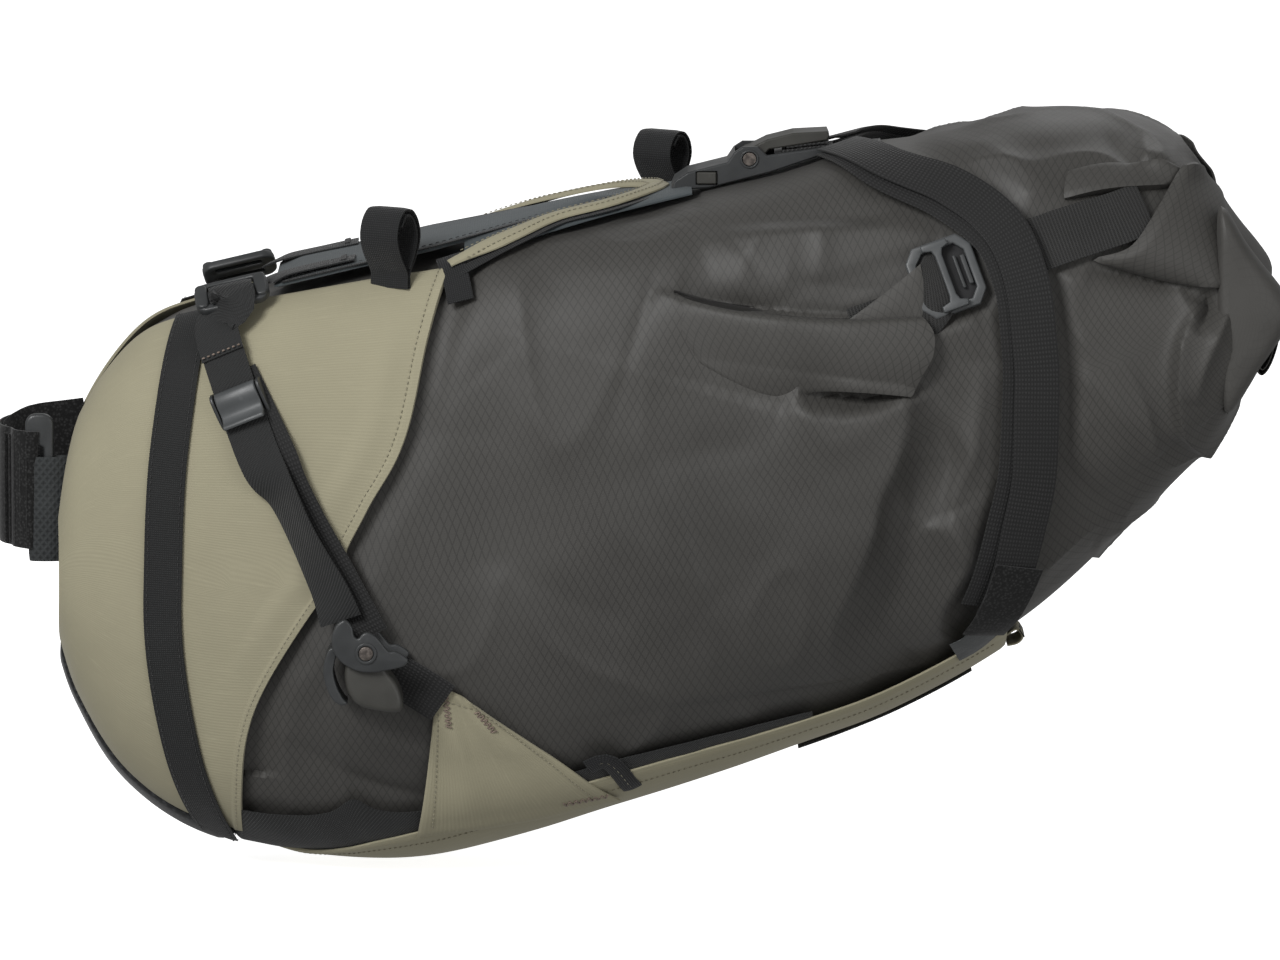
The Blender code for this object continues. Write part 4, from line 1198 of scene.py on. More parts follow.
def wing_lift(v, to_hem):
    """Height of the wing's middle: taut, with soft folds beside the hem and under the lock."""
    swell = np.sin(math.pi * np.clip(v * 1.6 - 0.05, 0, 1))
    beside = np.exp(-(((to_hem - 17) / 7) ** 2)) * 1.3 * swell
    beside = beside - np.exp(-(((to_hem - 30) / 8) ** 2)) * 0.5
    edge = smoothstep((HEM_WIDTH - to_hem) / 1.2) * 0.45
    return WING_LIFT + np.maximum(beside, 0) + edge


def make_wings():
    """The khaki side panels, each with a rolled hem along its curved rear edge."""
    columns, rows = ((110, 130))
    u = (1 - (1 - np.linspace(0, 1, columns)) ** 1.5)[:, None]
    v = np.linspace(0, 1, rows)[None, :]
    t, phi = wing_place(u, v)
    flat, normal = skin_point(t, phi), skin_normal(t, phi)
    to_hem = np.linalg.norm(flat - flat[-1:], axis=-1)
    lift = wing_lift(v, to_hem) + wobble(flat, 45, 4.0) * 0.35 * smoothstep(to_hem / 20)
    middle = flat + normal * lift[..., None]
    thickness = 1.9 + smoothstep((HEM_WIDTH - to_hem) / 1.2) * 0.9
    wing = shell("wing_cloth_near", middle, thickness, "khaki", "holster", normals=normal,
                 replaces=("wing_near",))
    declare_sheet(wing)
    seam = int(np.argmin(np.abs(to_hem[:, rows // 2] - (HEM_WIDTH - 1.2))))
    path, ups = middle[seam, 2:-2], normal[seam, 2:-2]
    stitch_row("wing_stitches_near", path + ups * 1.35, ups, "khaki_thread", "holster", 2.6, 0.26)


# ---------------------------------------------------------------- nose, panels and trims

NOSE_X = 22.0
NOSE_Z = -25.0
WALL_SIZE = (58, 104)
PAD_SIZE = (4.6, 26.0, 54.0)
PAD_DROP = 6
RIB_PITCH = 6
RIB_HEIGHT = 0.35
SEATPOST_RADIUS = 15.5


def make_nose_wall():
    """The stiff front wall and the stitching of its bound edge."""
    place = frame_at((NOSE_X, 0, NOSE_Z), (0, 1, 0), (1, 0, 0))
    plate("nose_wall", [rounded_rectangle(*WALL_SIZE, 22, 8)], 2.0, place, "abrasion", "holster", 0.7,
          replaces=("nose_plate",))
    outline = rounded_rectangle(WALL_SIZE[0] - 3, WALL_SIZE[1] - 3, 20.5, 8)
    edge = np.array([point_on(place, x, y, -1.1) for x, y in np.vstack([outline, outline[:1]])])
    stitch_row("nose_stitches", edge, np.tile((-1.0, 0, 0), (len(edge), 1)), "black_thread",
               "holster", 3.0, 0.3)


def make_seatpost_pad():
    """The crowned, ribbed pad that bears on the seatpost."""
    deep, wide, tall = PAD_SIZE
    z = np.linspace(-tall / 2, tall / 2, 56)[:, None]
    y = np.linspace(-wide / 2, wide / 2, 24)[None, :]
    crown = (1 - (2 * y / wide) ** 6) * (1 - (2 * z / tall) ** 10)
    ribs = RIB_HEIGHT * np.cos(2 * math.pi * z / RIB_PITCH) * crown
    front = SEATPOST_RADIUS + deep / 2 - (deep / 2 - 0.5) * crown - ribs
    points = np.stack(np.broadcast_arrays(front, y, z - PAD_DROP), -1)
    back = points * np.array([0, 1, 1]) + np.array([SEATPOST_RADIUS + deep, 0, 0])
    middle, thick = (points + back) / 2, np.abs(back - points)[..., 0]
    pad = shell("seatpost_pad_foam", middle, thick, "pad", "holster", rim=0.7,
                normals=np.broadcast_to((-1.0, 0, 0), middle.shape), replaces=("seatpost_pad",))


def make_abrasion_strip():
    """The rough strip that bulges under the nose, between the wings."""
    t = np.linspace(0.1, 3.25, 60)[:, None]
    phi = np.linspace(161, 199, 30)[None, :]
    base, normal = on_skin(t + 0 * phi, phi + 0 * t, WING_LIFT)
    bulge = 3.0 * np.sin(math.pi * np.clip((phi - 160) / 40, 0, 1)) ** 0.5 * smoothstep(t / 0.5)
    base = base + normal * (wobble(base, 30, 1.0) * 0.3 + bulge)[..., None]
    strip = shell("abrasion_cloth", base, 2.0, "abrasion", "holster", normals=normal,
                  replaces=("abrasion_strip",))
    declare_sheet(strip)


PANEL_START = (104.0, 99.5)
PANEL_END = (270.0, 138.5)
PANEL_LIFT = 3.4
PANEL_THICKNESS = 2.4
PANEL_HALF = ((4, 44), (76, 44), (118, 29), (150, 12), (164, 5))


def panel_place():
    """The top panel's place: X along it, from its front edge, and Z out of it."""
    start = Vector((PANEL_START[0], 0, PANEL_START[1]))
    end = Vector((PANEL_END[0], 0, PANEL_END[1]))
    along = (end - start).normalized()
    normal = along.cross(Vector((0, 1, 0)))
    return frame_at(start + normal * PANEL_LIFT, along, normal)


def on_panel(points, height):
    """Panel coordinates to the frame's."""
    place = panel_place()
    return np.array([point_on(place, x, y, height) for x, y in points])


def make_top_panel():
    """The stiffened panel under the saddle: crowned cloth, bound edges and their stitching."""
    s = np.linspace(0, 1, 90)
    knots = np.array(PANEL_HALF, float)
    x = knots[0, 0] + (knots[-1, 0] - knots[0, 0]) * s
    half = np.interp(x, knots[:, 0], knots[:, 1])
    v = np.linspace(-1, 1, 44)
    grid = np.stack(np.broadcast_arrays(x[:, None], half[:, None] * v[None, :]), -1)
    normal = heading(panel_place(), 0, 0, 1)
    crown = 1.5 * (1 - v[None, :] ** 4) * smoothstep(np.minimum(s, 1 - s) / 0.08)[:, None]
    middle = on_panel(grid.reshape(-1, 2), 0.2).reshape(90, 44, 3)
    soft = crown + wobble(middle, 40, 6.0) * 0.5 * crown
    middle = middle + normal * soft[..., None]
    panel = shell("top_panel_cloth", middle, PANEL_THICKNESS, "slate", "holster",
                  normals=np.broadcast_to(normal, middle.shape), replaces=("top_panel",))
    declare_sheet(panel)
    edge = on_panel(np.stack([x, -half + 2.2], -1)[2:-3], 1.3)
    webbing("panel_binding_near", edge, np.tile(normal, (len(edge), 1)), 7, "velvet",
            "holster", 0.9)
    inner = on_panel(np.stack([x, -half + 5.0], -1)[2:-3], 1.9)
    stitch_row("panel_stitches_near", inner, np.tile(normal, (len(inner), 1)),
               "black_thread", "holster", 3.2, 0.3)


# Places in the side view, as seen from 8 degrees above.
TRIM_RUN = ((188, 103.5), (202, 110), (218, 117), (236, 124.5), (259, 133.5), (281, 140.5))
TRIM_WIDTH = 12.0


def make_top_trims():
    """Khaki strips from the wings' corners to the top buckle, with raw black edges, and under each a
    black strip that is partly lining and partly painted shadow.
    """
    x, z = np.array(TRIM_RUN, float).T
    t, phi = seen(x, z)
    path, normals = skin_path(np.stack([t, phi], -1), 5.4, seen_from_side=False)
    middle, up, uv = ribbon_grid(path, normals, TRIM_WIDTH, cup=1.4)
    spine = middle.mean(1, keepdims=True)
    taper = 0.4 + 0.6 * smoothstep(np.linspace(0, 1, len(middle)) / 0.22)
    middle = spine + (middle - spine) * taper[:, None, None]
    trim = shell("top_trim_cloth_near", middle, 1.6, "khaki", "holster", uv=uv, normals=up,
                 replaces=("top_trim_near",))
    declare_sheet(trim)
    for label, share in (("upper", -0.30), ("lower", 0.30)):
        side = unit(middle[:, -1] - middle[:, 0])
        line = middle[3:, 3] + side[3:] * TRIM_WIDTH * share + up[3:, 3] * 0.6
        stitch_row(f"top_trim_{label}_stitches_near", line, up[3:, 3], "khaki_thread",
                   "holster", 2.6, 0.25)
    # A black strip just under the trim's lower edge: partly its lining, partly painted shadow for the
    # dark gap beneath the trim.
    under = middle[:, 3] + unit(middle[:, -1] - middle[:, 0]) * 5.8 - up[:, 3] * 3.0
    webbing("top_trim_lining_near", under, up[:, 3], 6, "velvet", "holster", 0.8)
    path, normals = skin_path(((187, 115), (190, 109), (192.5, 99)), (3.6, 3.6, 3.0))
    webbing("top_trim_foot_near", path, normals, 12, "velvet", "holster", 1.6)


def make_panel_tongue():
    """The top panel's narrow end, drawn between the trims to the top buckle."""
    t = np.linspace(5.25, 6.62, 44)[:, None]
    phi = np.linspace(-1, 1, 26)[None, :] * (25 - 19 * (t - 5.25) / 1.37)
    base, normal = on_skin(t, phi, 2.4)
    base = base + normal * (1.6 * (1 - np.linspace(-1, 1, 26)[None, :] ** 2) + 0 * t)[..., None]
    tongue = shell("panel_tongue", base, 1.6, "slate", "holster", normals=normal)
    declare_sheet(tongue)


BOTTOM_LIFT = 4.6
TAB_STATION = 8.84
TAB_WIDTH = 30
# A flattened loop of cloth, along the bag and out from it.
TAB_PROFILE = ((-4.2, 1.2), (0.5, 2.9), (3.6, 2.4), (4.4, 0.2), (3.4, -2.4), (-1.0, -2.9), (-4.2, -1.9))
# Station and half angle of the bottom panel's edge, then of its lining's edge.
BOTTOM_HALF = ((3.56, 11), (4.05, 13), (4.35, 20), (4.65, 27), (5.05, 32), (5.5, 34), (6.4, 34),
               (7.5, 31), (8.76, 33))
LINING_EDGE = ((3.3, 34), (3.9, 35), (4.25, 38), (4.44, 43.5), (4.62, 40), (4.9, 38.5), (5.4, 39),
               (6.2, 39), (6.8, 36.5), (7.4, 33))


def bottom_place(u, v):
    """Station and angle on the bottom panel: u towards the tail, v from side to side."""
    t = BOTTOM_HALF[0][0] + (BOTTOM_HALF[-1][0] - BOTTOM_HALF[0][0]) * u
    knots = spline(BOTTOM_HALF, 120)
    return t, 180 + np.interp(t, knots[:, 0], knots[:, 1]) * (2 * v - 1)


def make_bottom_lining():
    """The black cloth that lines the bottom panel, standing up past its edges."""
    knots = spline(LINING_EDGE, 160)
    t = np.linspace(LINING_EDGE[0][0], LINING_EDGE[-1][0], 130)[:, None]
    u = (t - BOTTOM_HALF[0][0]) / (BOTTOM_HALF[-1][0] - BOTTOM_HALF[0][0])
    low = 180 - bottom_place(np.maximum(u, 0), 0)[1] - 4
    high = np.interp(t, knots[:, 0], knots[:, 1])
    v = np.linspace(0, 1, 16)[None, :]
    half = low + (np.maximum(high, low + 3) - low) * v
    tuck = smoothstep((t - LINING_EDGE[0][0]) / 0.15)
    lift = 0.6 + (2.7 + 0.5 * np.sin(math.pi * v)) * tuck
    base, normal = on_skin(t + 0 * v, 180 - half, 0)
    points = base + normal * (lift + wobble(base, 16, 4.4) * 0.5)[..., None]
    lining = shell("bottom_lining_near", points, 1.2, "side_webbing", "holster", normals=normal)
    declare_sheet(lining)


def make_bottom_panel():
    """The khaki strip under the bag, with a folded seam along each side."""
    u = np.linspace(0, 1, 150)[:, None]
    v = np.linspace(0, 1, 40)[None, :]
    t, phi = bottom_place(u, v)
    t = t + 0 * v
    lift = BOTTOM_LIFT - 3.0 * (1 - smoothstep(u / 0.1)) + 0 * v
    base, normal = on_skin(t, phi, lift)
    seam = smoothstep((5 - np.minimum(v, 1 - v) * 60) / 1.2)
    rise = seam * 0.35 + wobble(base, 38, 8.0) * 0.5
    base = base + normal * rise[..., None]
    panel = shell("bottom_panel_cloth", base, 1.6 + seam * 0.6 + 0 * u, "khaki", "holster",
                  normals=normal, replaces=("bottom_panel",))
    declare_sheet(panel)
    for label, column in (("near", 4), ("far", 35)):
        line, up = base[3:-3, column], normal[3:-3, column]
        stitch_row(f"bottom_stitches_{label}", line + up, up, "khaki_thread", "holster", 2.6, 0.26,
                   paired=False)


def make_bottom_webbing():
    """The patch of webbing across the bottom panel, near the tail."""
    path, normals = skin_path(((7.3, 180), (8.0, 180), (8.5, 180)), 6.9, seen_from_side=False)
    webbing("bottom_webbing_strap", path, normals, 25, "rear_webbing", "holster",
            replaces=("bottom_webbing",))


def make_tail_tab():
    """The bottom panel's folded tail, with its black edge."""
    point, up = on_skin(TAB_STATION, 180, 4.2)
    along = unit(skin_point(8.95, 180) - skin_point(8.7, 180))
    side = np.cross(along, up)
    curve = spline(TAB_PROFILE, 26)
    across = np.linspace(-TAB_WIDTH / 2, TAB_WIDTH / 2, 20)
    grid = np.stack([[point + along * a + up * b + side * (c * (1 - 0.02 * abs(a)))
                      for c in across] for a, b in curve])
    grid = grid + (wobble(grid, 12, 1.5) * 0.5)[..., None] * up
    tab = shell("tail_tab_fold", grid, 1.3, "khaki", "holster", replaces=("tail_tab",))
    declare_sheet(tab)
    tip = np.array([point + along * 4.6 + up * 0.6 + side * c for c in np.linspace(-14, 14, 12)])
    webbing("tail_tab_edge", tip, np.tile(along, (12, 1)), 4.2, "velvet", "holster", 0.9)


# Places in the side view.
BAND_PLACES = ((72, 87), (64, 53), (59, 8), (58, -56), (66, -107), (79, -143))


def make_bands():
    """The black bands sewn down the wings and joined under the nose."""
    x, z = np.array(BAND_PLACES, float).T
    t, phi = locate(x, z)
    places = np.vstack([np.stack([t, phi], -1), [[3.2, 176]]])
    path, normals = skin_path(places, 4.7, seen_from_side=False)
    webbing("band_strap_near", path, normals, 18, "band", "holster", 1.3, ripple=0.1,
            replaces=("band_near",))
    side = unit(np.cross(unit(np.gradient(path, axis=0)), normals))
    for label, offset in (("front", -7.2), ("rear", 7.2)):
        stitch_row(f"band_{label}_stitches_near", path + side * offset + normals * 0.65,
                   normals, "black_thread", "holster", 3.0, 0.22)


# ---------------------------------------------------------------- loops on top

LOOP_TURN = math.radians(-32)
LOOP_FOOT = 9.0
# Half of a loop, from its foot up: how far from the middle in mm, and the share of its height.
LOOP_HALF = ((0.9, 0), (1.0, 0.14), (6.204, 0.36), (9.4, 0.6), (7.896, 0.82), (3.76, 0.96))
LOOP_LAYERS = (("outer", 20, 0.0), ("inner", 18, 1.2))


def make_loop(name, height, foot_depth):
    """An upright loop of velvety webbing, its end rolled over itself in a second layer."""
    low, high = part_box(name)
    base = Vector(((low.x + high.x) / 2, (low.y + high.y) / 2, low.z)) / MM
    across = np.array([math.sin(-LOOP_TURN), math.cos(LOOP_TURN), 0])
    outer = [(0.8, -foot_depth), *((a, share * height) for a, share in LOOP_HALF)]
    outer += [(0, height * 0.985)] + [(-a, h) for a, h in reversed(outer)]
    inner = [(0.72 * a, 2.6 + 0.84 * h) for a, h in outer[2:-2]]
    axis = np.cross(across, (0, 0, 1))
    foot = np.array(base) * MM
    bend = Bend("holster", name, foot, foot + np.array((0, 0, LOOP_FOOT * MM)))
    profiles = {"outer": outer, "inner": inner[:-3]}
    for label, width, shift in LOOP_LAYERS:
        line = spline([np.array(base) + across * a + (0, 0, h + 0.4) for a, h in profiles[label]], 40)
        normals = unit(np.cross(axis, unit(np.gradient(line, axis=0))))
        webbing(f"{name}_{label}_band", line + axis * shift, normals, width, "velvet", bend, 1.4,
                ripple=0.35, replaces=(name,) if label == "outer" else ())


# ---------------------------------------------------------------- side straps

KEEPER_RUN = ((87, 73), (103, 30))
KEEPER_SHARE = 0.5
STRAP_LIFT = 9.8
SIDE_STRAP_WIDTH = 20
# The strap below its lock: places in the side view, heights, and how far it twists in degrees.
SIDE_STRAP_RUN = ((85, 82), (113.5, 13), (123.5, -7), (134.5, -28), (140, -42))
SIDE_STRAP_LIFT = (10.4, 10.8, 12.2, 14.2, 14.8)
SIDE_STRAP_TURN = (0.0, 34.0, 38.0, 24.0, 6.0)
REAR_LAYER_RUN = ((116.5, 18.0), (126, -1), (138, -22), (153, -49))
REAR_LAYER_LIFT = (8.0, 8.4, 9.6, 11.5)
LADDER_LOCK = (88.0, -48.0, 101.0)


def lock_place():
    """The near ladder lock's place, leaning out over the bag's shoulder."""
    along = panel_place().to_3x3() @ Vector((1, 0, 0))
    lean = math.radians(38)
    return frame_at(LADDER_LOCK, along, (0, -math.sin(lean), math.cos(lean)))


def keeper_frame():
    """The ends of a strap's straight run, its direction and normal, and the keeper's place on it."""
    (x0, z0), (x1, z1) = KEEPER_RUN
    t, phi = locate(np.array([x0, x1], float), np.array([z0, z1], float))
    points, normals = on_skin(t, phi, STRAP_LIFT)
    along = unit(points[1] - points[0])
    normal = unit(normals[0] + normals[1])
    normal = unit(normal - along * (normal @ along))
    centre = points[0] * (1 - KEEPER_SHARE) + points[1] * KEEPER_SHARE
    return points, along, normal, frame_at(centre, along, normal)


def strap_top():
    """Where a side strap passes over its lock's bar: points, and the normals there."""
    place = lock_place()
    up, out = heading(place, 0, 0, 1), heading(place, 0, -1, 0)
    points = [point_on(place, 0, y, z) for y, z in ((5.0, 0.4), (3.0, 3.2), (-3.0, 4.0), (-8.5, 3.4))]
    return points, [up - out, up, up, up + out * 0.7]


def strap_run(places, lifts):
    """Points and normals on the skin at side-view places, each at its own height."""
    places = np.array(places, float)
    t, phi = locate(places[:, 0], places[:, 1])
    return on_skin(t, phi, np.array(lifts))


def make_side_straps():
    """Each compression strap, from the lock's bar down to the lever buckle."""
    (start, end), along, normal, _ = keeper_frame()
    top, top_up = strap_top()
    points, normals = strap_run(SIDE_STRAP_RUN, SIDE_STRAP_LIFT)
    side = np.cross(along, normal)
    turn = np.radians(SIDE_STRAP_TURN)[:, None]
    normals = unit(normals * np.cos(turn) + side * np.sin(turn))
    webbing("side_strap_webbing_near", [*top, points[0], start, end, *points[1:]],
            [*top_up, normals[0], normal, normal, *normals[1:]], SIDE_STRAP_WIDTH, "side_webbing",
            "holster", 1.5, ripple=0.3, replaces=("side_strap_near",))
    make_strap_fold(top, top_up, points[0], normals[0])
    rear, rear_up = strap_run(REAR_LAYER_RUN, REAR_LAYER_LIFT)
    webbing("side_strap_rear_layer_near",
            [start - side * 4 - normal * 2.2 + along * 12, end - side * 8.5 - normal * 2.2, *rear],
            [normal, normal, *rear_up], 16, "rear_webbing", "holster", 1.4, ripple=0.4)


def make_strap_fold(top, top_up, below, below_up):
    """The strap's end, doubled back over the bar and sewn down above the keeper."""
    (start, end), along, normal, _ = keeper_frame()
    side = np.cross(along, normal)
    up, out = top_up[1], top_up[1] - top_up[0]
    path = [top[2] + up * 1.7, top[3] + (up + out) * 1.2, below + below_up * 1.7,
            start * 0.95 + end * 0.05 + normal * 1.7]
    webbing("side_strap_fold_near", path, [up, up + out, below_up, normal],
            SIDE_STRAP_WIDTH + 0.6, "side_webbing", "holster", 1.3)
    finish = path[-1] + normal * 0.9 - along * 1.6
    line = np.array([finish + side * a for a in np.linspace(-9.4, 9.4, 8)])
    stitch_row("side_strap_stitches_near", line, np.tile(normal, (8, 1)), "brown_thread",
               "holster", 2.3, 0.42)


def make_keepers():
    """The moulded sleeve on each side strap: an arched plate, side walls and a hooked lip."""
    turn = keeper_frame()[-1] @ SIDE_PLANE
    arch = ((-7.0, 1.5), (-6.6, 3.8), (-4.0, 4.6), (-1, 4.4), (2.0, 3.1), (4.4, 2.8), (7.0, 4.0),
            (8.6, 6.0), (10.2, 5.6), (9.6, 3.4), (7.4, 1.6), (4, 1.4))
    floor = ((-8.6, -3.0), (9.0, -3.0), (9.0, -1.6), (-8.6, -1.6))
    plate("strap_keeper_cover_near", [smooth_outline(arch, 48)], 20.0, turn, "hook",
          "keeper_near", 0.7, replaces=("strap_keeper_near",))
    plate("strap_keeper_base_near", [floor], 20.8, turn, "plastic", "keeper_near", 0.5)
    wall = ((-7.6, -3.2), (7.6, -3.2), (7.4, -0.5), (4.2, 1.6), (0, 3.4), (-4, 4.4), (-7.2, 3.2))
    for label, shift in (("left", -11.4), ("right", 11.4)):
        spot = turn @ Matrix.Translation((0, 0, shift))
        plate(f"strap_keeper_{label}_wall_near", [smooth_outline(wall, 40)], 1.6, spot,
              "plastic", "keeper_near", 0.5)


def make_ladder_locks():
    """The two-slot adjusters, with rounded ends and raised bars."""
    place = lock_place()
    slots = [rounded_rectangle(22, 3.2, 1.2, 3) + np.array((0, y)) for y in (-3.4, 4.2)]
    plate("ladder_lock_body_near", [rounded_rectangle(34, 17, 5.5, 7), *slots], 4.0, place,
          "plastic", "ladder_lock_near", 1.0, replaces=("ladder_lock_near",))
    for label, x in (("front", -13.6), ("rear", 13.6)):
        spot = place @ Matrix.Translation((x, 0, 1.9))
        plate(f"ladder_lock_{label}_tab_near", [rounded_rectangle(5.6, 14, 2.6, 6)], 2.8,
              spot, "plastic", "ladder_lock_near", 0.9)


# Along the panel, across it, and above the webbing's own height.
TOP_WEBBING_RUN = ((0, -37, -1.4), (8, -34, 0.2), (22, -32, 0.3), (42, -32, 0.0))


def make_top_webbing():
    """Webbing from each ladder lock rearwards along the top panel's edge."""
    place = panel_place()
    normal = heading(place, 0, 0, 1)
    height = PANEL_THICKNESS / 2 + 2.2
    path = [point_on(place, x, y, height + h) for x, y, h in TOP_WEBBING_RUN]
    webbing("top_webbing_strap_near", path, np.tile(normal, (4, 1)), 20, "velvet",
            "holster", 1.4, replaces=("top_webbing_near",))
    centre, side = point_on(place, 37, -32, height + 0.9), heading(place, 0, 1, 0)
    bartack("top_webbing_tack_near", centre, side, normal, 16, 3.2, "black_thread", "holster")


# ---------------------------------------------------------------- lower ears and lever buckles

EAR_CORNERS = ((171, -143), (262, -127), (198, -82), (181, -73))
EAR_LIFT = 3.2
# A bartack's row and column on the ear, the steps along it, and its length, width and pitch.
EAR_TACKS = (
    ("front", 38, 12, (3, 0), 16, 3.4, 1.2),
    ("rear", 36, 44, (3, 0), 14, 3.4, 1.2),
    ("foot", 4, 52, (0, 4), 21, 4.2, 1.5),
)
EAR_WEBBING_RUN = ((184, -80), (176, -75), (166, -70), (154, -64))
EAR_WEBBING_LIFT = (6.4, 5.8, 3.4, 2.6)
CAM_PIN = (149.5, -93.0, -55.0)
CAM_WIDTH = 24.0


def make_ears():
    """The khaki flaps that pull the bottom panel up to the lever buckles."""
    foot_front, foot_rear, top_rear, top_front = (np.array(c, float) for c in EAR_CORNERS)
    grid = coons((foot_front, (176, -116), top_front), (foot_rear, (229, -104), top_rear),
                 (foot_front, (215, -137), foot_rear), (top_front, (190, -76.5), top_rear), 46, 60)
    t, phi = locate(grid[..., 0], grid[..., 1])
    base, normal = skin_point(t, phi), skin_normal(t, phi)
    u = np.linspace(0, 1, 46)[:, None]
    v = np.linspace(0, 1, 60)[None, :]
    lift = ear_lift(u, v) + wobble(base, 18, 3.3) * 0.25
    points = base + normal * lift[..., None]
    rim = np.minimum(np.minimum(u, 1 - u), np.minimum(v, 1 - v)) * 60
    ear = shell("lower_ear_cloth_near", points, 1.5 + smoothstep(4.5 - rim) * 0.7, "khaki",
                "ear_near", normals=normal, replaces=("lower_ear_near",))
    declare_sheet(ear)
    make_ear_seams(points, normal)


def ear_lift(u, v):
    """Height of an ear: pulled into creases towards its top, and standing off at its foot."""
    crease = np.sin((v * 4.4 + u * 2.4) * math.pi) * 0.9 * u * (1 - 0.6 * v)
    gather = np.exp(-(((v - 0.28) / 0.10) ** 2)) * 1.3 * (1 - u * 0.3)
    foot = 3.6 * (1 - smoothstep((u - 0.1) / 0.4))
    return EAR_LIFT + np.maximum(crease, -0.4) + gather * smoothstep(u / 0.3) + foot


def make_ear_seams(points, normal):
    """The stitching along an ear's hems, and its three bartacks."""
    for label, edge in (("front", np.s_[3:-3, 4]), ("rear", np.s_[3:-3, -5]), ("top", np.s_[-5, 4:-4])):
        ups = normal[edge]
        stitch_row(f"lower_ear_{label}_stitches_near", points[edge] + ups * 0.95, ups,
                   "khaki_thread", "ear_near", 2.5, 0.26)
    for label, i, j, (di, dj), length, width, pitch in EAR_TACKS:
        up = normal[i, j]
        run = unit(points[i - di, j - dj] - points[i + di, j + dj])
        bartack(f"lower_ear_{label}_tack_near", points[i, j] + up * 0.8, run, up, length, width,
                "brown_thread", "ear_near", pitch)


def make_ear_webbing():
    """Webbing from under each ear to its lever buckle."""
    path, normals = strap_run(EAR_WEBBING_RUN, EAR_WEBBING_LIFT)
    webbing("ear_webbing_strap_near", path, normals, SIDE_STRAP_WIDTH, "rear_webbing", "ear_near",
            1.5, replaces=("ear_webbing_near",))


def make_pull_loops():
    """A small pull of webbing with white stitching at the rear foot of each ear."""
    path, normals = skin_path(((268, -121), (262, -112), (256, -107), (248, -110)), 6.0)
    webbing("ear_pull_near", path, normals, 9, "velvet", "holster", 1.2, cup=0.6)
    stitch_row("ear_pull_stitches_near", path[2:-2] + normals[2:-2] * 0.9, normals[2:-2],
               "khaki_thread", "holster", 3.2, 0.22)


# Outlines of the lever buckle in the side view, about its pin.
CHEEK = ((-11.4, 14.5), (-8.9, 15.2), (-6.1, 12.0), (-5.4, 8.2), (-3.6, 6.6), (-1.6, 8.8),
         (0.9, 9.6), (5.0, 7.2), (8.4, 3.0), (10.5, 0.8), (12.9, 1.0), (16.0, -0.4), (19.0, -3.0),
         (17.4, -5.6), (13.2, -7.0), (8.6, -7.9), (3.2, -8.7), (-3.2, -8.2), (-8.6, -5.9),
         (-12.7, -2.3), (-15.0, 2.3), (-15.4, 7.7), (-13.6, 12.3))
LEVER = ((-5.6, 1.5), (-3.6, 4.3), (0, 5.5), (3.8, 4.1), (5.5, 0.0), (9.5, -8.5), (14.0, -15.0),
         (16.4, -22.0), (15.6, -26.8), (11.0, -27.6), (4.1, -26.6), (-3.0, -24.6), (-7.6, -20.0),
         (-9.6, -13.6), (-9.4, -7.0), (-7.0, -2.5))
HOOK_FRAME = ((-12.7, 1.0), (-16.2, 1.8), (-18.6, -3.2), (-19.4, -9.1), (-18.0, -16.0),
              (-15.2, -21.8), (-11.6, -24.2), (-8.4, -23.6), (-10.6, -21.0), (-13.4, -15.4),
              (-14.8, -9.0), (-14.0, -4.0))


def make_cam_buckles():
    """The lever buckles: two cheeks, a bridge, the leaf-shaped lever, a hook frame and the pin."""
    x, y, z = CAM_PIN
    cheek = smooth_outline(CHEEK, 90)
    for label, shift in (("outer", -CAM_WIDTH / 2 + 1.4), ("inner", CAM_WIDTH / 2 - 1.4)):
        plate(f"cam_cheek_{label}_near", [cheek], 2.8, side_place(x, y + shift, z),
              "plastic", "ear_near", 0.9,
              replaces=("cam_body_near",) if label == "outer" else ())
    bridge = ((-14.6, 9.5), (-12.2, 12.6), (-9.6, 12.4), (-9.4, 6), (-10.2, -1), (-12.6, 0), (-14.2, 4))
    plate("cam_bridge_near", [smooth_outline(bridge, 40)], CAM_WIDTH - 4.8,
          side_place(x, y, z), "plastic", "ear_near", 0.6)
    plate("cam_hook_frame_near", [smooth_outline(HOOK_FRAME, 60)], 17,
          side_place(x, y + 0.5, z), "plastic", "ear_near", 0.8)
    plate("cam_lever_leaf_near", [smooth_outline(LEVER, 80)], CAM_WIDTH - 6.8,
          side_place(x, y, z), "lever", "cam_lever_near", 2.4,
          replaces=("cam_lever_near",))
    outer = y - CAM_WIDTH / 2
    plate("cam_rivet_near", [arc((0, 0), 3.2, 0, 345, 24)], 1.4,
          side_place(x, outer - 0.25, z), "bronze", "ear_near", 0.35,
          replaces=("cam_pin_near",))
    plate("cam_collar_near", [arc((0, 0), 4.9, 0, 348, 28), arc((0, 0), 3.5, 0, 345, 24)],
          1.1, side_place(x, outer - 0.2, z), "plastic", "ear_near", 0.3)
    plate("cam_pin_stem_near", [arc((0, 0), 2.9, 0, 345, 20)], CAM_WIDTH - 1,
          side_place(x, y, z), "bronze", "ear_near", 0.3)


# ---------------------------------------------------------------- rear straps and their buckles

TOP_PIN = (322.5, 0.0, 158.5)
TOP_WIDTH = 28.0
COLLAR_Y = TOP_WIDTH / 2 + 0.1
REAR_OUTER = ((386, 154), (414, 147), (436, 133), (446, 112), (449.5, 86), (450.5, 58), (449, 26),
              (444, 3), (437, -22), (430, -37))
REAR_INNER = ((383.5, 152), (410.5, 143.5), (432.5, 129.5), (442, 109.5), (445, 86), (445.5, 58),
              (443.5, 26), (438, 3), (431.5, -19), (425, -34))
# Station and angle where the rear straps leave the top buckle.
REAR_START = (7.56, 3.4)


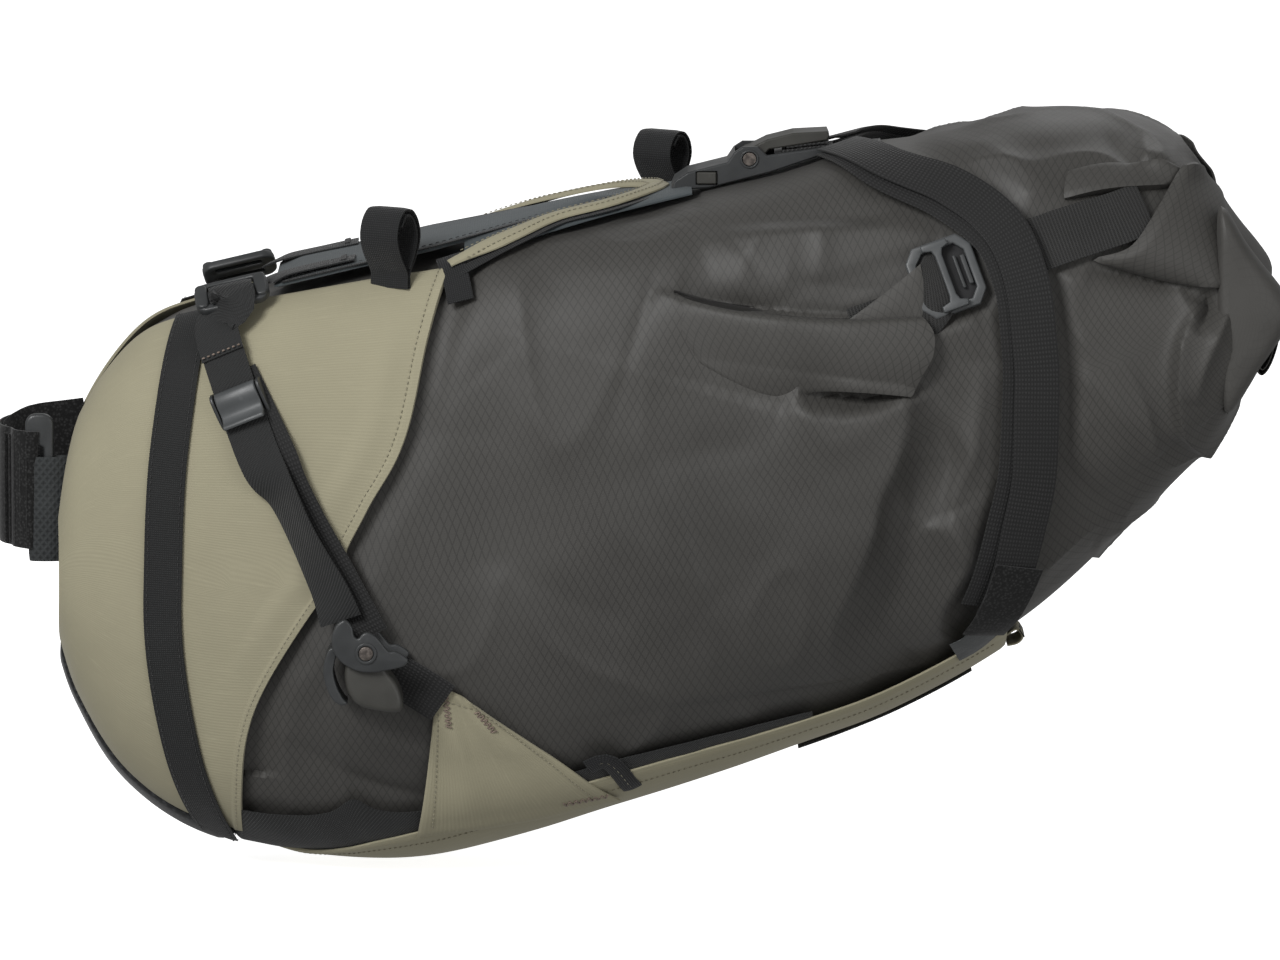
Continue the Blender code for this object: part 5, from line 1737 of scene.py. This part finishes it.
def make_rear_straps():
    """Two layers of webbing from the top buckle, round the bag's side, to the bottom panel."""
    for label, run, lift, width, node in (
        ("outer", REAR_OUTER, 9.2, 20, "rear_strap"),
        ("inner", REAR_INNER, 6.8, 21, "rear_strap_inner"),
    ):
        x, z = np.array(run, float).T
        t, phi = locate(x, z)
        places = np.vstack([[REAR_START], np.stack([t, phi], -1)])
        path, normals = skin_path(places, lift, seen_from_side=False)
        webbing(f"rear_strap_{label}_band_near", path, normals, width, "rear_webbing",
                "holster", 1.5, ripple=0.25, replaces=(f"{node}_near",))
    patch_run = ((441, -14), (437, -24), (432, -35), (425, -47))
    hooks, normals = skin_path(patch_run, (10.4, 10.8, 10.2, 8.4))
    webbing("rear_strap_hooks_near", hooks, normals, 23, "hooks", "holster", 1.8, ripple=0.6)
    line, up = skin_path(((444, 12), (439, -6), (434, -20)), 6.2)
    webbing("rear_strap_liner_near", line, up, 26, "film", "holster", 0.9, ripple=0.5)
    ends, up = skin_path(((430, -42), (421, -52), (413, -57)), (7.2, 6.6, 6.0))
    webbing("rear_strap_film_near", ends, up, 17, "film", "holster", 0.8, ripple=0.8)


def make_top_buckle():
    """The webbing layers in the top buckle's slot, its pin's collars, and the tail behind it."""
    x, _, z = TOP_PIN
    slope = (0.965, 0.262)
    for k, (start, drop, length) in enumerate(((17, -0.2, 20), (15, -2.0, 24), (12, -3.6, 26))):
        a = np.array((start, 3.3 + drop + start * 0.11))
        b = a + np.array(slope) * length * np.array((1, 0.42))
        line = np.array([(x + p[0], 0, z + p[1]) for p in (a, (a + b) / 2 + (0, 0.15), b)])
        webbing(f"top_buckle_layer_{k + 1}", line, np.tile((-0.11, 0, 1.0), (3, 1)), TOP_WIDTH - 7.4,
                "rear_webbing", "holster", 1.5, ripple=0.2)
    for label, y in (("near", -COLLAR_Y), ("far", COLLAR_Y)):
        collar = [arc((x, z), 4.3, 0, 348, 30), arc((x, z), 3.3, 0, 345, 24)]
        plate(f"top_buckle_collar_{label}", collar, 1.0, side_place(0, y, 0), "plastic",
              "holster", 0.3, paired=False)
    front = np.array([(x + dx, 0, z + dz) for dx, dz in ((33, 1.4), (46, 5.0), (60, 6.8))])
    webbing("top_buckle_tail", front, np.tile((-0.3, 0, 1.0), (3, 1)), 20, "rear_webbing", "holster")


# The buckle's place in the side view, and the heights of its frame and of its hook.
HOOK_BUCKLE = (407.4, 111.6)
HOOK_FRAME_LIFT = 3.0
HOOK_LIFT = 7.0
ROLL_WEBBING_WIDTH = 25.0
ANCHOR_WEBBING_WIDTH = 16.0


def hook_place(lift):
    """The hook buckle's place on the bag's side, X along the webbing."""
    t, phi = locate(*(np.array(v) for v in HOOK_BUCKLE))
    point, normal = on_skin(t, phi, lift)
    t, phi = locate(np.array(HOOK_BUCKLE[0] + 9), np.array(HOOK_BUCKLE[1] + 3.2))
    ahead, _ = on_skin(t, phi, lift)
    return frame_at(point, ahead - point, normal) @ Matrix.Translation((3.0, 0, 0))


def make_hook_buckles():
    """The octagonal frame on the bag's side and the I-shaped hook that drops into it."""
    place = hook_place(HOOK_FRAME_LIFT)
    octagon = ((-15.5, -11), (-10.5, -17), (10.5, -17), (15.5, -11), (15.5, 11), (10.5, 17),
               (-10.5, 17), (-15.5, 11))
    window = ((-11, -9), (-7, -13.2), (8, -13.2), (11.5, -9), (11.5, 9), (8, 13.2), (-7, 13.2),
              (-11, 9))
    plate("buckle_frame_plate_near", [np.array(octagon, float), np.array(window, float)], 3.6,
          place, "hook", "holster", 0.9, replaces=("buckle_frame_near",))
    # The frame's black floor, coloured darker than its plastic as painted shade in the window.
    plate("buckle_frame_floor_near", [np.array(octagon, float) * 0.94], 1.2,
          hook_place(HOOK_FRAME_LIFT - 1.4), "recess", "holster", 0.3)
    raised = hook_place(HOOK_LIFT)
    hook = ((-6.4, -16), (5.4, -16), (6.0, -13.4), (2.6, -12.2), (1.6, -9.5), (1.6, 9.5), (2.6, 12.2),
            (6.0, 13.4), (5.4, 16), (-6.4, 16), (-6.4, 13.2), (-2.4, 12.2), (-1.6, 9.5), (-1.6, -9.5),
            (-2.4, -12.2), (-6.4, -13.2))
    plate("buckle_hook_plate_near", [np.array(hook, float)], 2.6, raised, "hook",
          "hook_near", 0.7, replaces=("buckle_hook_near",))
    for label, x, width in (("inner", 6.4, 1.6), ("outer", 10.0, 2.2)):
        spot = hook_place(HOOK_FRAME_LIFT + 0.8) @ Matrix.Translation((x, 0, 0))
        outline = rounded_rectangle(width, 19 - x * 0.5, 0.7, 4)
        plate(f"buckle_{label}_rib_near", [outline], 1.6, spot, "plastic", "holster", 0.4)


def make_roll_webbings():
    """Ribbed webbing from the rolled mouth to the hook, and the triangular fold that anchors it."""
    places = ((428, 117.8), (436, 120.8), (455, 128), (484, 137), (500, 142))
    path, normals = skin_path(places, (3.8, 3.2, 2.6, 2.6, 2.6))
    webbing("roll_webbing_strap_near", path, normals, ROLL_WEBBING_WIDTH, "roll_webbing",
            "holster", 1.5, ripple=0.2, replaces=("roll_webbing_near",))
    path, normals = skin_path(((368, 91), (382, 96), (397, 101)), (1.2, 2.0, 3.0))
    webbing("anchor_webbing_strap_near", path, normals, ANCHOR_WEBBING_WIDTH,
            "roll_webbing", "holster", 1.5, replaces=("anchor_webbing_near",))

    def rise(u, v):
        return 3.6 + 1.8 * u + 0.6 * np.sin(math.pi * v)

    patch(
        "anchor_fold_near",
        ((397.2, 83), (404.5, 74), (416.5, 88.5)),
        ((399, 106), (402, 111), (406, 115)),
        ((397.2, 83), (398.5, 95), (399, 106)),
        ((416.5, 88.5), (411.5, 102), (406, 115)),
        rise,
        (),
        1.5,
        (14, 20),
        material="roll_webbing",
        folds=(),
    )


# ---------------------------------------------------------------- seatpost strap

STRAP_Z = 1.0
SEAT_STRAP_HEIGHT = 50.0
RING_X, RING_Y, RING_RISE = -1.0, -23.0, 6.0
KNIT_RUN = ((20, -18.5), (14, -20.5), (8.5, -21), (2, -20.6), (-3.6, -20.8), (-5.6, -23.6),
            (-3.8, -26.8), (3, -27.6), (9, -26.4), (19, -21.8))
TAIL_RIBS = ((-17.2, -15.2), (-14.9, -18.6), (-12.4, -21.6), (-9.6, -24.6), (-6.6, -27.2))


def upright_webbing(name, path, heights, width, thickness, material, body, **kw):
    """A band standing on edge along a path in plan (x, y), its middle at the given heights."""
    path = np.asarray(path, float)
    rise = np.interp(np.linspace(0, 1, len(path)), np.linspace(0, 1, len(heights)), heights)
    line = spline(np.column_stack([path, rise]), 40)
    tangent = unit(np.gradient(line, axis=0))
    normals = np.cross(tangent, (0, 0, 1.0))
    middle, up, uv = ribbon_grid(line, normals, width, step=1.6, across=15)
    middle = middle + up * (wobble(middle, 18, len(name)) * 0.2)[..., None]
    return shell(name, middle, thickness, material, body, uv=uv, normals=up, **kw)


def make_seatpost_ring():
    """The knit anchor at the nose, and the moulded ring that it holds."""
    ring = rounded_rectangle(13, 64, 5, 7) + np.array((RING_X, STRAP_Z + RING_RISE + 4))
    opening = rounded_rectangle(3.8, 48, 1.5, 4) + np.array((RING_X, STRAP_Z + 3))
    plate("seatpost_ring_bar", [ring, opening], 4.4, side_place(0, RING_Y, 0), "plastic", "seat_ring",
          1.4, replaces=("seatpost_ring",))
    upright_webbing("seatpost_anchor_knit", KNIT_RUN, (-0.5, -0.5), 48, 1.4, "knit", "holster",
                    replaces=("seatpost_anchor",))


def make_seatpost_strap():
    """The hook-and-loop strap round the post, and its tail, ribbed and folded back at the ring."""
    inner = [(20, 18), (10, 17.8), *arc((0, 0), SEATPOST_RADIUS + 2.2, 90, 236, 14), (-3.4, -20.5)]
    upright_webbing("seatpost_strap_band", inner, (20, 10, 7), SEAT_STRAP_HEIGHT, 1.5, "hooks",
                    "holster", replaces=("seatpost_strap",))
    outer = [*arc((0, 0), SEATPOST_RADIUS + 5.0, 100, 226, 14), (-12.5, -20.5), (-7.6, -25.8),
             (-4.6, -27.2), (-2.8, -26.6)]
    bend = Bend("seat_ring", "seat_tail", Vector((-3, -27, 8)) * MM, Vector((-12, -21.5, 8)) * MM)
    upright_webbing("seatpost_tail_band", outer, (12, 9, 8), 54, 1.7, "hooks", bend,
                    replaces=("seatpost_strap_tail",))
    for k, (x, y) in enumerate(TAIL_RIBS):
        line = np.array([(x, y, z) for z in np.linspace(-17, 33, 9)])
        webbing(f"seatpost_tail_rib_{k + 1}", line, np.tile((-0.75, -0.66, 0), (9, 1)), 1.2, "hooks",
                bend, 0.8, ripple=0.1)


TAIL_OUTLINE = ((534, 144), (546, 127), (558, 111), (564, 101), (564, 92), (557, 78), (547, 62),
                (537, 50), (533, 70), (532, 100), (532, 125))


def make_roll_wraps():
    """Cloth at each end of the roll, drawn round it before it is folded forward."""
    outline = smooth_outline(TAIL_OUTLINE, 90)
    centre = outline.mean(0)
    rings = []
    for y, size in ((-46, 0.35), (-50, 0.72), (-58, 0.86), (-68, 0.95), (-77, 1.0), (-82, 0.97),
                    (-85, 0.90), (-87, 0.76), (-88, 0.5)):
        ring = centre + (outline - centre) * size
        rings.append(np.column_stack([ring[:, 0], np.full(len(ring), y), ring[:, 1]]))
    rings = np.array(rings)
    rings = np.array([spline(rings[:, k], 40) for k in range(rings.shape[1])]).transpose(1, 0, 2)
    outward = unit(rings - np.array([centre[0], -66, centre[1]]))
    rings = rings + outward * (wobble(rings, 26, 5.5) * 2.2 + wobble(rings, 11, 1.5) * 0.5)[..., None]
    closed = np.concatenate([rings, rings[:, :1]], 1)
    uv = grid_lengths(closed)[:, :-1].reshape(-1, 2)
    loft("roll_wrap_near", rings, "ripstop_fold", "holster", uv=uv)


# ---------------------------------------------------------------- stage


ROOM_LIGHT = 0.36
FLOOR_HALF = 6.0
FLOOR_GAP = 0.004
FLOOR_GLOW = 0.85
CAMERA_TARGET = (0.2727, 0, 0.0091)
CAMERA_DISTANCE = 5.0
CAMERA_ELEVATION = math.radians(8)
SENSOR_WIDTH = 36
# The width that fills the picture, and how far in front of the target it lies.
VIEW_WIDTH = 0.5818
VIEW_ADVANCE = 0.04
LIGHT_TARGET = (0.27, 0, 0)
LIGHTS = (
    ("key", (-1.0, -1.9, 1.35), 0.9, 48),
    ("fill", (1.5, -1.9, 0.2), 1.2, 8),
    ("back", (0.9, 1.6, 1.7), 1.4, 8),
)


def aim(obj, place, target):
    """Puts a light or camera at a place, looking at a target."""
    bpy.context.scene.collection.objects.link(obj)
    obj.location = place
    obj.rotation_euler = (Vector(target) - obj.location).to_track_quat("-Z", "Y").to_euler()


def make_room():
    """An even white room: full brightness to the camera, and soft light on the object."""
    world = bpy.data.worlds.new("studio")
    bpy.context.scene.world = world
    world.use_nodes = True
    nodes, links = world.node_tree.nodes, world.node_tree.links
    background = nodes["Background"]
    background.inputs["Color"].default_value = (1, 1, 1, 1)
    rays = nodes.new("ShaderNodeLightPath")
    strength = nodes.new("ShaderNodeMapRange")
    strength.inputs["To Min"].default_value = ROOM_LIGHT
    strength.inputs["To Max"].default_value = 1.0
    links.new(rays.outputs["Is Camera Ray"], strength.inputs["Value"])
    links.new(strength.outputs["Result"], background.inputs["Strength"])


def make_floor():
    """A plain pale floor, just under the object."""
    low, _ = CAD_BOX
    r = FLOOR_HALF
    mesh = bpy.data.meshes.new("floor")
    mesh.from_pydata([(-r, -r, 0), (r, -r, 0), (r, r, 0), (-r, r, 0)], [], [(0, 1, 2, 3)])
    floor = bpy.data.objects.new("floor", mesh)
    floor.location.z = low.z - FLOOR_GAP
    bpy.context.scene.collection.objects.link(floor)
    tree = Tree("floor", 0.9, specular=0.1)
    tone = tree.noise(tree.place(), 0.6, 2)
    tree.colour(tree.mix(tone, (0.93, 0.93, 0.93), (0.96, 0.96, 0.96)))
    tree.shader.inputs["Emission Color"].default_value = (1, 1, 1, 1)
    tree.shader.inputs["Emission Strength"].default_value = FLOOR_GLOW
    mesh.materials.append(tree.material)
    floor.visible_diffuse = False
    floor.visible_glossy = False


def make_lights():
    """Three large soft lights."""
    for name, place, size, power in LIGHTS:
        light = bpy.data.lights.new(name, "AREA")
        light.size = size
        light.energy = power
        aim(bpy.data.objects.new(name, light), place, LIGHT_TARGET)


def make_camera():
    """The camera, level with the near side and a little above it."""
    data = bpy.data.cameras.new("camera")
    data.sensor_width = SENSOR_WIDTH
    data.lens = SENSOR_WIDTH * (CAMERA_DISTANCE - VIEW_ADVANCE) / VIEW_WIDTH
    data.clip_start, data.clip_end = 0.05, 60
    camera = bpy.data.objects.new("camera", data)
    back = Vector((0, -math.cos(CAMERA_ELEVATION), math.sin(CAMERA_ELEVATION)))
    aim(camera, Vector(CAMERA_TARGET) + CAMERA_DISTANCE * back, CAMERA_TARGET)
    bpy.context.scene.camera = camera
    bpy.context.scene.view_settings.view_transform = "Standard"


make_room()
make_floor()
make_lights()
make_camera()
make_dry_bag()
make_pleats()
make_painted_mouth_shades()
make_gusset()
make_roll_ends()
make_roll()
make_roll_wraps()
make_wings()
make_nose_wall()
make_seatpost_pad()
make_abrasion_strip()
make_top_panel()
make_top_trims()
make_panel_tongue()
make_bottom_lining()
make_bottom_panel()
make_bottom_webbing()
make_tail_tab()
make_bands()
make_loop("loop_front", 34.0, 2.5)
make_loop("loop_rear", 28.0, 7.0)
make_side_straps()
make_keepers()
make_ladder_locks()
make_top_webbing()
make_ears()
make_ear_webbing()
make_pull_loops()
make_cam_buckles()
make_rear_straps()
make_top_buckle()
make_hook_buckles()
make_roll_webbings()
make_seatpost_ring()
make_seatpost_strap()
